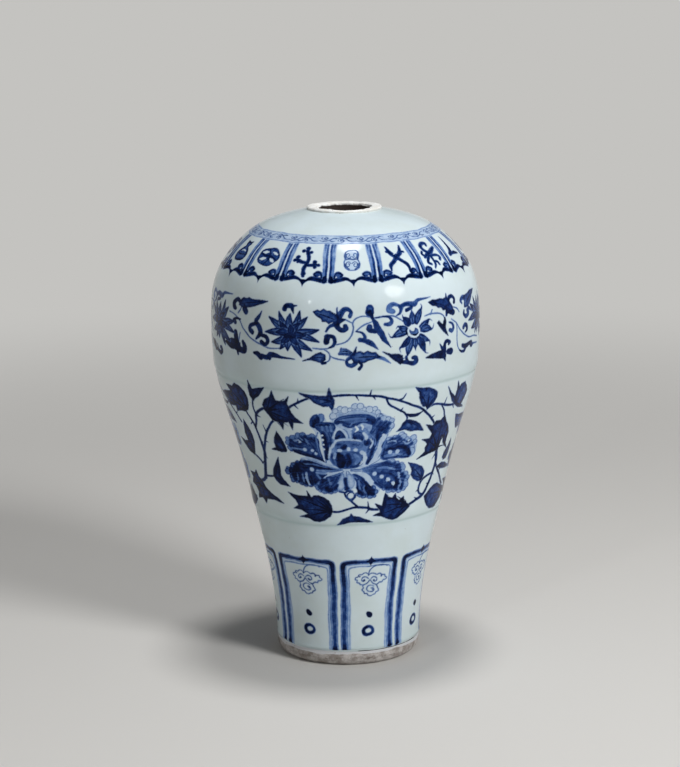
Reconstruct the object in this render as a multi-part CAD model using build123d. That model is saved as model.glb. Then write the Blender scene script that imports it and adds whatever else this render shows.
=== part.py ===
from build123d import *
import math
import os

# Meiping vase: three thrown porcelain wall sections, an inset base and the ground-down root of the neck,
# joined with clay slip and covered by one glaze coat that stops above the bare foot.
# Sketches hold the radius along X and the height along Y, and every solid is revolved about Z.
# Millimetres. The origin is the centre of the foot, on the surface that the vase stands on.

# Heights of the three thrown wall sections
lower_section_height = 132.5
middle_section_height = 123.5
upper_section_height = 136.0

# Turning template of the clay's outer face: diameters, and levels within the sections
foot_diameter = 125.5
foot_edge_radius = 8.0
hip_diameter = 139.3
hip_height = 79.0
lower_joint_diameter = 163.1
belly_diameter = 196.7
belly_rise = 67.5  # above the lower joint
upper_joint_diameter = 227.0
shoulder_diameter = 232.4
shoulder_rise = 46.0  # above the upper joint
crown_diameter = 220.9
crown_drop = 53.8  # below the neck root
collar_diameter = 167.6
collar_drop = 19.8  # below the neck root
neck_root_diameter = 64.8
neck_root_slope = 12.0  # degrees above level where the crown meets the neck

# Walls and coat
heel_wall = 11.0
crown_wall = 6.0
glaze_thickness = 0.5
glaze_line_height = 13.6  # the glaze stops here, above the bare foot

# Foot and base
foot_ring_width = 10.0  # flat ring that the vase stands on
base_recess = 2.5
base_thickness = 12.0

# Slip joints
slip_thickness = 1.2
scarf_drop = 4.0  # how far a wall joint falls from outside to inside
bead_width = 9.0
bead_height = 1.5
base_bead = 6.0

# Neck stub
mouth_bore_diameter = 47.2
neck_lap = 5.0  # width of the sloped seat that the stub stands in
stub_rise = 3.0
stub_taper = 0.4
stub_edge_radius = 1.2

# Build settings
template_shares = 40  # offset curves pass through this many equal shares of the outer face
overshoot = 3.0  # cutters reach this far past the clay


def turning_template():
    """Points of the outer face from the top of the rounded foot edge to the neck root."""
    lower_joint_height = lower_section_height
    upper_joint_height = lower_joint_height + middle_section_height
    neck_root_height = upper_joint_height + upper_section_height
    levels = [
        (foot_diameter, foot_edge_radius),
        (hip_diameter, hip_height),
        (lower_joint_diameter, lower_joint_height),
        (belly_diameter, lower_joint_height + belly_rise),
        (upper_joint_diameter, upper_joint_height),
        (shoulder_diameter, upper_joint_height + shoulder_rise),
        (crown_diameter, neck_root_height - crown_drop),
        (collar_diameter, neck_root_height - collar_drop),
        (neck_root_diameter, neck_root_height),
    ]
    return [Vector(diameter / 2, height) for diameter, height in levels]


template = turning_template()
lower_joint, upper_joint, neck_root = template[2], template[4], template[-1]
slope = math.radians(neck_root_slope)
outer = Spline(*template, tangents=[(0, 1), (-math.cos(slope), math.sin(slope))])


def outward(share):
    """Unit normal of the outer face at a share of its length."""
    tangent = outer % share
    return Vector(tangent.Y, -tangent.X)


def wall_at(share):
    """Wall thickness, thinning evenly from the heel to the crown."""
    return heel_wall + (crown_wall - heel_wall) * share


def beside_outer(share, distance):
    """Point of the outer face moved outward by a distance."""
    return outer @ share + outward(share) * distance


def strip(start, end, thickness):
    """Thin layer centred on a line, running past both of its ends."""
    along = (end - start).normalized()
    side = Vector(-along.Y, along.X) * (thickness / 2)
    first = start - along * overshoot
    last = end + along * overshoot
    return make_face(Polyline(first + side, last + side, last - side, first - side, close=True))


def beside(start, end, distance):
    """The same line moved to its left by a distance."""
    along = (end - start).normalized()
    side = Vector(-along.Y, along.X) * distance
    return start + side, end + side


def revolved(face):
    """Turn a sketch of radius and height about Z."""
    return revolve(Plane.XZ * face, axis=Axis.Z, revolution_arc=360)


# Inner face and the two sloped seats, in the heel for the base and in the crown for the neck
base_top = base_recess + base_thickness
heel_edge = Vector(foot_diameter / 2 - heel_wall, base_top)
ring_edge = Vector(foot_diameter / 2 - foot_edge_radius - foot_ring_width, 0)
crown_edge = Vector(neck_root.X - neck_lap, neck_root.Y - crown_wall)
heel_top = heel_edge + Vector(0, base_bead)  # the heel is straight as high as the cove
inside = [beside_outer(i / template_shares, -wall_at(i / template_shares)) for i in range(template_shares)]
inner = Spline(
    heel_top,
    *[point for point in inside if point.Y > heel_top.Y + heel_wall],
    crown_edge,
    tangents=[(0, 1), outer % 1],
)

# Full wall from the standing ring to the seat of the neck
foot_edge = RadiusArc(
    (foot_diameter / 2 - foot_edge_radius, 0), (foot_diameter / 2, foot_edge_radius), -foot_edge_radius
)
wall = make_face(
    [
        Line(ring_edge, foot_edge @ 0),
        foot_edge,
        outer,
        Line(neck_root, crown_edge),
        inner,
        Line(heel_top, heel_edge),
        Line(heel_edge, ring_edge),
    ]
)


def wall_joint(point):
    """Slip layer sloping down through the wall, and the wiped bead that it leaves inside."""
    share = outer.param_at_point(point)
    tangent = outer % share
    inner_end = beside_outer(share, -wall_at(share)) - tangent * scarf_drop
    bead_angle = math.degrees(math.atan2(tangent.Y, tangent.X))
    bead = Location((inner_end.X, inner_end.Y), (0, 0, bead_angle)) * Ellipse(bead_width / 2, bead_height)
    layer = strip(point, inner_end, slip_thickness)
    return layer, (layer & wall) + (bead - wall)


lower_layer, lower_luting = wall_joint(lower_joint)
upper_layer, upper_luting = wall_joint(upper_joint)
sections = (wall - lower_layer - upper_layer).faces().sort_by(Axis.Y)
lower_wall, belly_wall, shoulder_wall = sections

# Base set in the heel on a sloped slip layer, with a wiped cove inside
base_block = make_face(
    Polyline(
        (0, base_recess),
        ring_edge + (heel_edge - ring_edge) * (base_recess / base_top),
        heel_edge,
        (0, base_top),
        close=True,
    )
)
base_layer = strip(*beside(ring_edge, heel_edge, slip_thickness / 2), slip_thickness)
base_slab = base_block - base_layer
cove = make_face(Polyline(heel_edge - Vector(base_bead, 0), heel_edge, heel_top, close=True))
base_luting = (base_layer & base_block) + cove

# Root of the neck, ground flat, in its sloped seat
stub_top = neck_root.Y + stub_rise
stub_block = make_face(
    Polyline(
        (mouth_bore_diameter / 2, crown_edge.Y),
        crown_edge,
        neck_root,
        (neck_root.X - stub_taper, stub_top),
        (mouth_bore_diameter / 2, stub_top),
        close=True,
    )
)
neck_layer = strip(*beside(crown_edge, neck_root, slip_thickness / 2), slip_thickness)
neck_luting = neck_layer & stub_block
neck_stub = (stub_block - neck_layer).faces().sort_by(SortBy.AREA)[-1]
worn_corners = neck_stub.vertices().group_by(Axis.Y)[-1]
neck_stub = fillet(worn_corners, stub_edge_radius)

# One glaze coat over the outer face, cut off along the glaze line
coat_shares = [i / template_shares for i in range(template_shares + 1)]
coat_face = Spline(*[beside_outer(share, glaze_thickness) for share in coat_shares])
coat = make_face([outer, Line(outer @ 1, coat_face @ 1), coat_face, Line(coat_face @ 0, outer @ 0)])
bare_foot = Rectangle(foot_diameter * 2, glaze_line_height, align=(Align.CENTER, Align.MIN))
glaze_coat = coat - bare_foot

nodes = {
    "base_slab": base_slab,
    "lower_wall": lower_wall,
    "belly_wall": belly_wall,
    "shoulder_wall": shoulder_wall,
    "neck_stub": neck_stub,
    "base_luting": base_luting,
    "lower_luting": lower_luting,
    "upper_luting": upper_luting,
    "neck_luting": neck_luting,
    "glaze_coat": glaze_coat,
}

os.makedirs("parts", exist_ok=True)
for name, section in nodes.items():
    piece = revolved(section)
    piece.label = name
    export_step(piece, f"parts/{name}.step")
    print(name, len(piece.solids()), round(piece.volume), piece.bounding_box().size)
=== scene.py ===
"""Meiping vase of blue and white porcelain: painted glaze, bare foot and the worn root of a lost neck."""

from __future__ import annotations

import logging
from dataclasses import dataclass
from enum import Enum
from typing import Iterator, Optional, Sequence, Union

import bpy
import numpy as np
from mathutils import Euler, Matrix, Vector


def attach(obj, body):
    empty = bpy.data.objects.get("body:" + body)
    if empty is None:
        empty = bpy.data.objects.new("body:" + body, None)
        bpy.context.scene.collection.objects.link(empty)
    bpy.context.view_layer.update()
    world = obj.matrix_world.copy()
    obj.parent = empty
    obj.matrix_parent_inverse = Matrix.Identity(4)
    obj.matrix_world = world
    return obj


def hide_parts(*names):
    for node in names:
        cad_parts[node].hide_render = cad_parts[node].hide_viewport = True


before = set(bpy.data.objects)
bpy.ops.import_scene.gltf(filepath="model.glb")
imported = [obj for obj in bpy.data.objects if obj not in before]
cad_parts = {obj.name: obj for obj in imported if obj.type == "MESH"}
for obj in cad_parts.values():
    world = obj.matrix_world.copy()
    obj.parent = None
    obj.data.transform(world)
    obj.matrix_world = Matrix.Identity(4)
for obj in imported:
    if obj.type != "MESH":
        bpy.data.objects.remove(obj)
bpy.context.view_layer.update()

log = logging.getLogger("vase")

Array = np.ndarray
Point = Sequence[float]  # angle in degrees and level in millimetres
Run = Union[Sequence, np.ndarray]  # such angles and levels by turns, or rows of them
Amounts = Union[float, Sequence[float], np.ndarray]
Colour = tuple[int, int, int]
Socket = bpy.types.NodeSocket
Feed = Union[float, Sequence[float], Socket]
Feeds = dict[Union[int, str], Feed]

MM = 0.001  # the painting and the profiles are in millimetres, the meshes in metres


class Ink(Enum):
    """The two ways that the painter lays cobalt."""

    WASH = "wash"
    LINE = "line"


FAR_OUTSIDE = -3.0  # edge distance where nothing is painted
EDGE_MARGIN = 1.6  # distance round a stroke within which its edge is worked out
SEGMENTS_AT_ONCE = 10  # segments of a brush path that are worked out together
TONE_REACH = 1.0  # distance outside a stroke to which its tone reaches
TONE_FADE = 0.8  # distance over which that tone sets in
PLAIN_TONE = 0.5
TINY = 1e-9

# height, count round the vase, phase and twist of the waves that make the brush tremble
SWAY = ((0.30, 7, 0.0, 0.09), (0.22, 17, 1.0, -0.21), (0.10, 41, 0.0, 0.5))
LIFT = ((0.28, 9, 2.0, -0.07), (0.22, 23, 0.0, 0.17), (0.10, 37, 0.0, -0.6))


def pairs(run: Run) -> Array:
    """Points of a run, as rows of angle and level."""
    return np.reshape(run, (-1, 2)).astype(float)


def spread(values: Amounts, where: Array) -> Array:
    """Values spaced evenly from nought to one, read off at places between them."""
    row = np.atleast_1d(values)
    return np.interp(where, np.linspace(0, 1, len(row)), row)


def wave(angle: Array, parts: Sequence[Sequence[float]], level: Union[float, Array] = 0.0) -> Array:
    """Sum of sines round the vase: height times the sine of count times angle, phase and twist times level.

    Args:
        angle: Angles in radians.
        parts: Height, count round the vase, phase and, where it has one, twist of each sine.
        level: Levels that the twists work on.

    Returns:
        The sum at each angle.
    """
    total = 0.0
    for height, count, phase, *twist in parts:
        total = total + height * np.sin(count * angle + phase + sum(twist) * level)
    return total


def bell(x: Array, width: float) -> Array:
    """Bell curve of height one: the exponential of minus the square of x over the width."""
    return np.exp(-((x / width) ** 2))


def eased(x: Array) -> Array:
    """Rise from nought to one, level at both ends: three squares less two cubes."""
    t = np.clip(x, 0, 1)
    return t * t * (3 - 2 * t)


def turns(count: int) -> Array:
    """Angles of the columns round the axis, in radians: the first is at the back, the middle one in front."""
    return np.radians(np.arange(count) * 360 / count - 180)


def smoothed(run: Run, closed: bool = False, shares: int = 6) -> Array:
    """Smooth curve through points: each span blends the four points round it with cubic weights.

    Args:
        run: The points.
        closed: Whether the curve comes back to its start.
        shares: Points on each span.

    Returns:
        The curve as rows of points.
    """
    p = pairs(run)
    if closed:
        p = np.vstack([p[-1:], p, p[:2]])
    else:
        p = np.vstack([2 * p[0] - p[1], p, 2 * p[-1] - p[-2]])
    t = np.linspace(0, 1, shares, endpoint=False)[None, :, None]
    a, b, c, d = (p[i : len(p) - 3 + i, None, :] for i in range(4))
    curve = 0.5 * (2 * b + (c - a) * t + (2 * a - 5 * b + 4 * c - d) * t**2 + (3 * b - a - 3 * c + d) * t**3)
    curve = curve.reshape(-1, 2)
    return curve if closed else np.vstack([curve, p[-2:-1]])


def blade_outline(length: float, width: float, bend: float, belly: float) -> Array:
    """Smooth pointed blade along +x: its half width is a half sine with its widest place at the belly.

    Args:
        length: Length of the blade.
        width: Its greatest width.
        bend: How far its middle leaves the straight line, as a share of the length.
        belly: Where it is widest, as a share of the length.

    Returns:
        The closed outline.
    """
    along = np.linspace(0, 1, 15)
    across = 0.5 * width * np.sin(np.pi * along ** (np.log(0.5) / np.log(belly)))
    upper = np.stack([along * length, across], 1)
    outline = np.vstack([upper, upper[-2:0:-1] * (1, -1)])
    outline[:, 1] += bend * length * np.sin(np.pi * outline[:, 0] / length)
    return outline


def ellipse(centre: Point, width: float, height: float, angle: Array, size: Amounts = 1.0) -> Array:
    """Points on an ellipse: its centre plus half its width and height times a size and a cosine or sine."""
    across, up = 0.5 * width * size * np.cos(angle), 0.5 * height * size * np.sin(angle)
    return np.stack([centre[0] + across, centre[1] + up], 1)


def spiral(centre: Point, width: float, height: float, start: float, winds: float) -> Array:
    """Curl that winds in from an ellipse's edge, its size falling evenly by three quarters.

    Args:
        centre: Middle of the curl.
        width: Width of the ellipse.
        height: Height of the ellipse.
        start: Angle of its start, in degrees.
        winds: How often it goes round, below nought for the other way.

    Returns:
        The curl from its outer end.
    """
    t = np.linspace(0, 1, max(int(10 * abs(winds)), 5))
    return ellipse(centre, width, height, np.radians(start) + 2 * np.pi * winds * t, 1 - 0.75 * t)


@dataclass
class Patch:
    """A shape's distance to its edge, positive inside, on some rows and columns of the canvas."""

    rows: slice
    columns: Array
    inside: Array
    along: Optional[Array] = None


@dataclass
class Canvas:
    """Glaze face laid flat: distances to the edge of each ink, positive inside the paint, and its tones."""

    levels: Array
    radii: Array
    columns: int

    def __post_init__(self) -> None:
        """Work out where the trembling brush meets the grid, and start with no paint."""
        shape = (len(self.levels), self.columns)
        self.pitch = 360 / self.columns
        angle, level = turns(self.columns)[None, :], self.levels[:, None]
        sway = wave(angle, SWAY, level) / self.radii[:, None]
        self.angle = np.degrees(angle + sway).astype(np.float32)
        self.level = (level + wave(angle, LIFT, level)).astype(np.float32)
        self.edges = {ink: np.full(shape, FAR_OUTSIDE, np.float32) for ink in Ink}
        self.tones = {ink: np.full(shape, PLAIN_TONE, np.float32) for ink in Ink}

    def relative(self, points: Array, reach: float) -> tuple[slice, Array, Array, Array]:
        """Offsets from the grid to some points, on the part of the grid near them.

        Args:
            points: Rows of angle and level.
            reach: Distance round the points that counts as near.

        Returns:
            The rows and columns near the points, and for each point the offsets across and up.
        """
        low, high = points.min(0), points.max(0)
        first = min(np.searchsorted(self.levels, low[1] - reach), len(self.levels) - 1)
        rows = slice(first, max(np.searchsorted(self.levels, high[1] + reach), first + 1))
        radius = self.radii[rows]
        margin = np.degrees(reach / radius.min())
        left = np.floor((low[0] - margin + 180) / self.pitch)
        right = np.ceil((high[0] + margin + 180) / self.pitch)
        columns = np.arange(left, right + 1).astype(int)
        wrapped = columns % self.columns
        angle = self.angle[rows, wrapped] + 360 * (columns // self.columns)
        across = np.radians(points[:, 0, None, None] - angle).astype(np.float32) * radius[:, None]
        up = points[:, 1, None, None] - self.level[rows, wrapped]
        return rows, wrapped, across.astype(np.float32), up.astype(np.float32)

    def trail(self, points: Array, radii: Array) -> Patch:
        """Tapered brush trail: radius less distance to the path, the most over its segments.

        Args:
            points: Path of the brush.
            radii: Half the width of the trail at each point.

        Returns:
            The trail, with how many segments lie before each place on it.
        """
        rows, columns, x, y = self.relative(points, float(radii.max()) + EDGE_MARGIN)
        ax, ay, dx, dy = x[:-1], y[:-1], np.diff(x, axis=0), np.diff(y, axis=0)
        share = np.clip(-(ax * dx + ay * dy) / (dx**2 + dy**2 + TINY), 0, 1)
        radius = radii[:-1, None, None] + share * np.diff(radii)[:, None, None]
        inside = radius - np.hypot(ax + share * dx, ay + share * dy)
        nearest = inside.argmax(0)[None]
        along = nearest[0] + np.take_along_axis(share, nearest, 0)[0]
        return Patch(rows, columns, np.take_along_axis(inside, nearest, 0)[0], along)

    def area(self, outline: Array) -> Patch:
        """Closed area: distance to its edge, inside where a level ray crosses the outline oddly often.

        Args:
            outline: Corners of the area.

        Returns:
            The area.
        """
        rows, columns, x, y = self.relative(outline, EDGE_MARGIN)
        next_y = np.roll(y, -1, axis=0)
        dx, dy = np.roll(x, -1, axis=0) - x, next_y - y
        share = np.clip(-(x * dx + y * dy) / (dx**2 + dy**2 + TINY), 0, 1)
        distance = np.hypot(x + share * dx, y + share * dy).min(0)
        crosses = (y > 0) != (next_y > 0)
        ahead = x - y * dx / np.where(dy == 0, TINY, dy) > 0
        odd = (crosses & ahead).sum(0) % 2 == 1
        return Patch(rows, columns, np.where(odd, distance, -distance))

    def add(self, ink: Ink, patch: Patch, tone: Union[float, Array], grow: float = 0.0) -> None:
        """Lay ink on a patch.

        Args:
            ink: The ink.
            patch: Where it goes.
            tone: Its tone, pale at nought and dark at one.
            grow: Distance that the patch grows by.
        """
        place = (patch.rows, patch.columns)
        inside = patch.inside + grow
        weight = np.clip((inside + TONE_REACH) / TONE_FADE, 0, 1)
        self.tones[ink][place] += weight * (tone - self.tones[ink][place])
        self.edges[ink][place] = np.maximum(self.edges[ink][place], inside)

    def rim(self, patch: Patch, width: float, tone: float) -> None:
        """Line of a width along a patch's edge."""
        self.add(Ink.LINE, Patch(patch.rows, patch.columns, width / 2 - np.abs(patch.inside)), tone)

    def cut(self, patch: Patch, grow: float = 0.0, inks: Sequence[Ink] = tuple(Ink)) -> None:
        """Leave a patch, grown by a distance, free of some inks.

        Args:
            patch: What stays free.
            grow: Distance that it grows by.
            inks: Inks that it is free of.
        """
        place = (patch.rows, patch.columns)
        for ink in inks:
            self.edges[ink][place] = np.minimum(self.edges[ink][place], -patch.inside - grow)


@dataclass
class Painter:
    """Lays strokes and areas on a canvas, measured from a place of its own."""

    canvas: Canvas
    turn: float = 0.0
    lift: float = 0.0

    def at(self, angle: float, level: float = 0.0) -> Painter:
        """The same painter measuring from another place."""
        return Painter(self.canvas, self.turn + angle, self.lift + level)

    def radius(self, level: float) -> float:
        """Radius of the vase at a level."""
        return float(np.interp(level + self.lift, self.canvas.levels, self.canvas.radii))

    def placed(self, run: Run) -> Array:
        """Points of a run on the canvas."""
        return pairs(run) + (self.turn, self.lift)

    def way(self, base: Point, tip: Point) -> Array:
        """Way from one point to another, across and up, in millimetres."""
        return np.array([np.radians(tip[0] - base[0]) * self.radius(base[1]), tip[1] - base[1]])

    def span(self, base: Point, tip: Point) -> float:
        """Distance between two points in millimetres."""
        return float(np.hypot(*self.way(base, tip)))

    def laid(self, base: Point, tip: Point, local: Array) -> Array:
        """Points in millimetres along and beside the way from a base to a tip, as angles and levels.

        Args:
            base: Where the way starts.
            tip: Where it leads.
            local: Distances along and to the left of the way.

        Returns:
            The points.
        """
        x, y = self.way(base, tip) / self.span(base, tip)
        across = local[:, 0] * x - local[:, 1] * y
        up = local[:, 0] * y + local[:, 1] * x
        return np.stack([base[0] + np.degrees(across / self.radius(base[1])), base[1] + up], 1)

    def trails(self, run: Run, widths: Amounts, tones: Amounts) -> Iterator[tuple[Patch, Array]]:
        """Smoothed brush path in short lengths.

        Args:
            run: Points that the brush goes through.
            widths: Widths, evenly spaced along the path.
            tones: Tones, spaced likewise.

        Yields:
            Each length's trail, and the tone at each place on it.
        """
        path = self.placed(run)
        if len(path) > 2:
            path = smoothed(path)
        where = np.linspace(0, 1, len(path))
        radii = spread(np.asarray(widths) / 2, where).astype(np.float32)
        shades = spread(tones, where)
        for start in range(0, len(path) - 1, SEGMENTS_AT_ONCE):
            length = slice(start, start + SEGMENTS_AT_ONCE + 1)
            patch = self.canvas.trail(path[length], radii[length])
            yield patch, np.interp(patch.along, np.arange(len(shades[length])), shades[length])

    def stroke(self, ink: Ink, run: Run, widths: Amounts, tones: Amounts) -> None:
        """Brush stroke through points, its width and tone running through the given values."""
        for patch, tone in self.trails(run, widths, tones):
            self.canvas.add(ink, patch, tone)

    def gap(self, run: Run, widths: Amounts, inks: Sequence[Ink] = tuple(Ink)) -> None:
        """Stroke that stays free of some inks."""
        for patch, _ in self.trails(run, widths, PLAIN_TONE):
            self.canvas.cut(patch, inks=inks)

    def disc(self, centre: Point, diameter: float) -> Patch:
        """Round patch."""
        return self.canvas.trail(self.placed([centre, centre]), np.full(2, diameter / 2, np.float32))

    def dot(self, ink: Ink, centre: Point, diameter: float, tone: float) -> None:
        """Round touch of the brush."""
        self.canvas.add(ink, self.disc(centre, diameter), tone)

    def shape(self, outline: Run) -> Patch:
        """Closed area from an outline."""
        return self.canvas.area(self.placed(outline))

    def wash(self, outline: Run, edge: float, core: float, depth: float) -> Patch:
        """Area washed from one tone at its edge to another at a depth inside it.

        Args:
            outline: Corners of the area.
            edge: Tone at its edge.
            core: Tone inside.
            depth: Distance over which the tone changes.

        Returns:
            The area.
        """
        patch = self.shape(outline)
        self.canvas.add(Ink.WASH, patch, edge + (core - edge) * np.clip(patch.inside / depth, 0, 1))
        return patch


def places_round(front: Sequence[float], count: int) -> list[float]:
    """Angles of repeats round the vase: those seen in front, then even steps round the back.

    Args:
        front: Angles of those in front, from left to right.
        count: How many there are in all.

    Returns:
        All the angles.
    """
    step = (360 - (front[-1] - front[0])) / (count - len(front) + 1)
    return [*front, *(front[-1] + step * number for number in range(1, count - len(front) + 1))]


@dataclass
class LappetBand:
    """Upright panels round the foot, each with a hanging cloud, a drop and a ring."""

    centres: Sequence[float] = (-79, -31.75, 15.5, 62.5, 106.2, 149.9, 193.6, 237.3)
    half_widths: Sequence[float] = (18.5, 21.25, 18.5, 20.5, 18.3, 18.3, 18.3, 18.3)
    bottom: float = 6.4
    top: float = 89.8
    inset: float = 4.2
    corner: float = 4.6
    ring_level: float = 24.4
    knot: Run = (
        -2.6, 90.4, -1.3, 92, -0.4, 93, 0.1, 94.4, 0.6, 93, 1.6, 92, 2.9, 90.2, 1.2, 88.2, 0.1, 86.2,
        -1.2, 88.2,
    )
    cloud_lines: tuple = (
        (12, 84.4, 9, 85.8, 5, 85.3, 2.4, 84.4, 0.4, 82, -0.5, 79.2, -0.5, 77),
        (-0.5, 77.2, -2.2, 78.8, -4.2, 78.6, -5.4, 77.2, -7.4, 77.4, -8.2, 75.6, -10, 75, -9.9, 73,
         -8.6, 72.2, -8.8, 70.4, -7, 69.6, -6.2, 68.2, -4.2, 67.6, -2.2, 68.2, -0.6, 70, 0.2, 72),
        (-0.5, 77.2, 1.4, 78.6, 3.4, 78.2, 5, 77, 7, 77.6, 8.6, 76.2, 10.8, 75.8, 11.4, 74, 12.9, 72.8,
         11.6, 71.2, 10.2, 71, 9.4, 69.4, 7.4, 69.4, 5.8, 67.8, 3.8, 68, 2, 69.6, 0.8, 71.6),
        (-3, 68, -4.6, 66.6, -4.2, 64.6, -5.2, 63, -4, 61.4, -3.4, 59.6, -1.6, 59.2, -0.4, 57.6, 1.6, 57,
         3.4, 58, 5, 58.6, 5.6, 60.4, 7.4, 61.4, 7.2, 63.4, 6.4, 64.8, 5.6, 66.6, 3.8, 68),
        (-0.6, 73.4, -2.4, 75, -4.6, 74.4, -5.4, 72.4, -4.4, 71, -3, 71.4),
        (0.9, 73, 2.6, 75, 4.8, 74.2, 5.2, 72, 4, 70.8, 2.8, 71.4),
        (3.4, 66, 1, 67, -1.4, 65.6, -1.8, 63, -0.2, 61, 2.2, 60.8, 3.8, 62.4, 3, 64.2, 1.4, 64),
    )
    cloud_dots: tuple = (
        (-3.5, 72, 2.3), (3.1, 71.8, 2.3), (2.6, 63, 2), (-6.9, 75.5, 1.7), (8.3, 75.2, 1.9),
        (-0.6, 76.8, 1.8),
    )
    drop: Run = (-1.6, 41.4, -0.4, 42.7, 1.4, 42, 2.9, 40.4, 2.7, 38, 1, 36.7, -1, 37.4, -1.9, 39.2)

    def paint(self, painter: Painter) -> None:
        """Paint all the panels.

        Args:
            painter: Painter of the whole vase.
        """
        for number, (centre, half) in enumerate(zip(self.centres, self.half_widths)):
            panel = painter.at(centre)
            self.frame(panel, half)
            self.cloud(panel)
            self.pendants(panel, number)

    def path(self, p: Painter, half: float, inset: float) -> Array:
        """Frame line from the left foot over the top to the right foot.

        Args:
            p: Painter at the panel's middle.
            half: Half the panel's width in degrees.
            inset: Distance from the panel's edge.

        Returns:
            The line's points.
        """
        foot = half - np.degrees(inset / p.radius(20))
        shoulder = half - np.degrees(inset / p.radius(75))
        turn = np.degrees(self.corner / p.radius(85))
        top = self.top - inset
        left = pairs([
            -foot, self.bottom, -foot, 30, -shoulder, 60, -shoulder, top - self.corner,
            0.25 * turn - shoulder, top - 0.2 * self.corner, turn - shoulder, top,
            -0.35 * half, top + 0.2, 0, top + 0.3,
        ])
        return np.vstack([left, left[-2::-1] * (-1, 1)])

    def frame(self, p: Painter, half: float) -> None:
        """Broad stripe over three sides with a darker core, a thin pale line inside it and a knot on top.

        Args:
            p: Painter at the panel's middle.
            half: Half the panel's width in degrees.
        """
        rising = (6.0, 6.0, 6.0, 5.6, 5.2, 4.6, 4.2)
        p.stroke(Ink.WASH, self.path(p, half, 0.75 * self.inset), 2.6, -0.14)
        p.stroke(Ink.WASH, self.path(p, half, 0.0), (*rising, 4.2, *rising[::-1]), 0.27)
        inner = self.path(p, half, self.inset + 0.4)
        p.stroke(Ink.LINE, inner, (1.4, 1.2, 1.1, 1.2, 1.4), (0.16, 0.24, 0.16))
        for side in (-half, half):
            core = [side, 8, side, 30, side, 60, side, 80]
            p.stroke(Ink.LINE, core, (3.0, 3.2, 3.4, 3.6), (0.62, 0.54, 0.62, 0.76))
            bend = [side, 74, side, 84, 0.97 * side, 88.4, 0.82 * side, 89.7, 0.4 * side, 89.9, 0, 90]
            p.stroke(Ink.LINE, bend, (3.0, 3.8, 4.4, 3.2, 2.6, 2.4), (0.74, 0.84, 0.9, 0.82, 0.7, 0.66))
            p.stroke(Ink.LINE, [side, 9.6, side, 7.2], (3.2, 4.4), (0.75, 0.96))
        p.canvas.add(Ink.LINE, p.shape(self.knot), 0.88)

    def cloud(self, p: Painter) -> None:
        """Cloud of three curled lobes on a stalk, in thin pale lines.

        Args:
            p: Painter at the panel's middle.
        """
        for path in self.cloud_lines:
            p.stroke(Ink.LINE, path, (0.8, 1.1, 0.9, 1.1, 0.9), (0.38, 0.46, 0.38, 0.48))
        for angle, level, size in self.cloud_dots:
            p.dot(Ink.LINE, (angle, level), 0.8 * size, 0.55)

    def pendants(self, p: Painter, number: int) -> None:
        """Dark drop over a broad ring.

        Args:
            p: Painter at the panel's middle.
            number: Number of the panel, from which its small differences come.
        """
        drop = pairs(self.drop)
        drop[:2, 0] += 0.5 * np.cos(2.1 * number)
        p.canvas.add(Ink.LINE, p.shape(smoothed(drop, closed=True)), 0.97)
        angle = np.linspace(0, 2 * np.pi, 13)
        swell = 1 + 0.05 * np.cos(2 * angle + number)
        ring = np.stack([3.9 * swell * np.cos(angle), self.ring_level + 3.65 * np.sin(angle)], 1)
        p.stroke(Ink.WASH, ring, (3.0, 2.9, 3.7, 3.1, 3.0), 0.5)
        p.stroke(Ink.LINE, ring, (1.7, 1.9, 2.7, 2.0, 1.7), (0.7, 0.78, 0.92, 0.8, 0.7))


@dataclass
class ScrollBand:
    """Thin pale band of running curls between two lines, high on the crown."""

    bottom: float = 384.0
    top: float = 393.4
    repeats: int = 34
    stem: Run = (-0.5, -1.2, -0.22, -2.6, 0.08, -1, 0.3, 1.6, 0.6, 2.2)
    leaf: Run = (0.06, -0.6, 0.22, -2.4, 0.42, -2)
    light: Run = (-0.36, 2.6, -0.24, 3.2)

    def paint(self, painter: Painter) -> None:
        """Paint the pale ground, its two lines and the curls, which point up and down by turns.

        Args:
            painter: Painter of the whole vase.
        """
        ring = np.linspace(-180, 180, 121)
        middle = 0.5 * (self.bottom + self.top)
        for ink, level, width, tone in (
            (Ink.WASH, middle, self.top - self.bottom, 0.06),
            (Ink.LINE, self.bottom, 0.8, 0.26), (Ink.LINE, self.top, 0.7, 0.26),
        ):
            painter.stroke(ink, np.stack([ring, np.full_like(ring, level)], 1), width, tone)
        step = 360 / self.repeats
        for number in range(self.repeats):
            p = painter.at(number * step + 1.1 * np.sin(2.3 * number), middle)
            up = 1 if number % 2 else -1
            scale = (step, up)
            p.stroke(Ink.LINE, pairs(self.stem) * scale, (0.6, 1.1, 0.9, 1.1, 0.5), 0.42)
            curl = spiral((-0.16 * step, 1.2 * up), 0.5 * step, 4.6, -70 * up, -1.25 * up)
            p.stroke(Ink.LINE, curl, (0.6, 1.0, 1.4), 0.46)
            p.stroke(Ink.LINE, pairs(self.leaf) * scale, (0.5, 1.5, 0.6), 0.38 + 0.2 * (number % 5 == 0))
            p.gap(pairs(self.light) * scale, (0.8, 1.7))


@dataclass(frozen=True)
class Limb:
    """Broad stroke of an emblem, with a darker core."""

    path: Run
    widths: Sequence[float]

    def paint(self, p: Painter, tone: float) -> None:
        """Paint the stroke, then its core."""
        p.stroke(Ink.WASH, self.path, self.widths, tone)
        p.stroke(Ink.LINE, self.path, np.asarray(self.widths) * 0.42, tone + 0.2)


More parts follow.
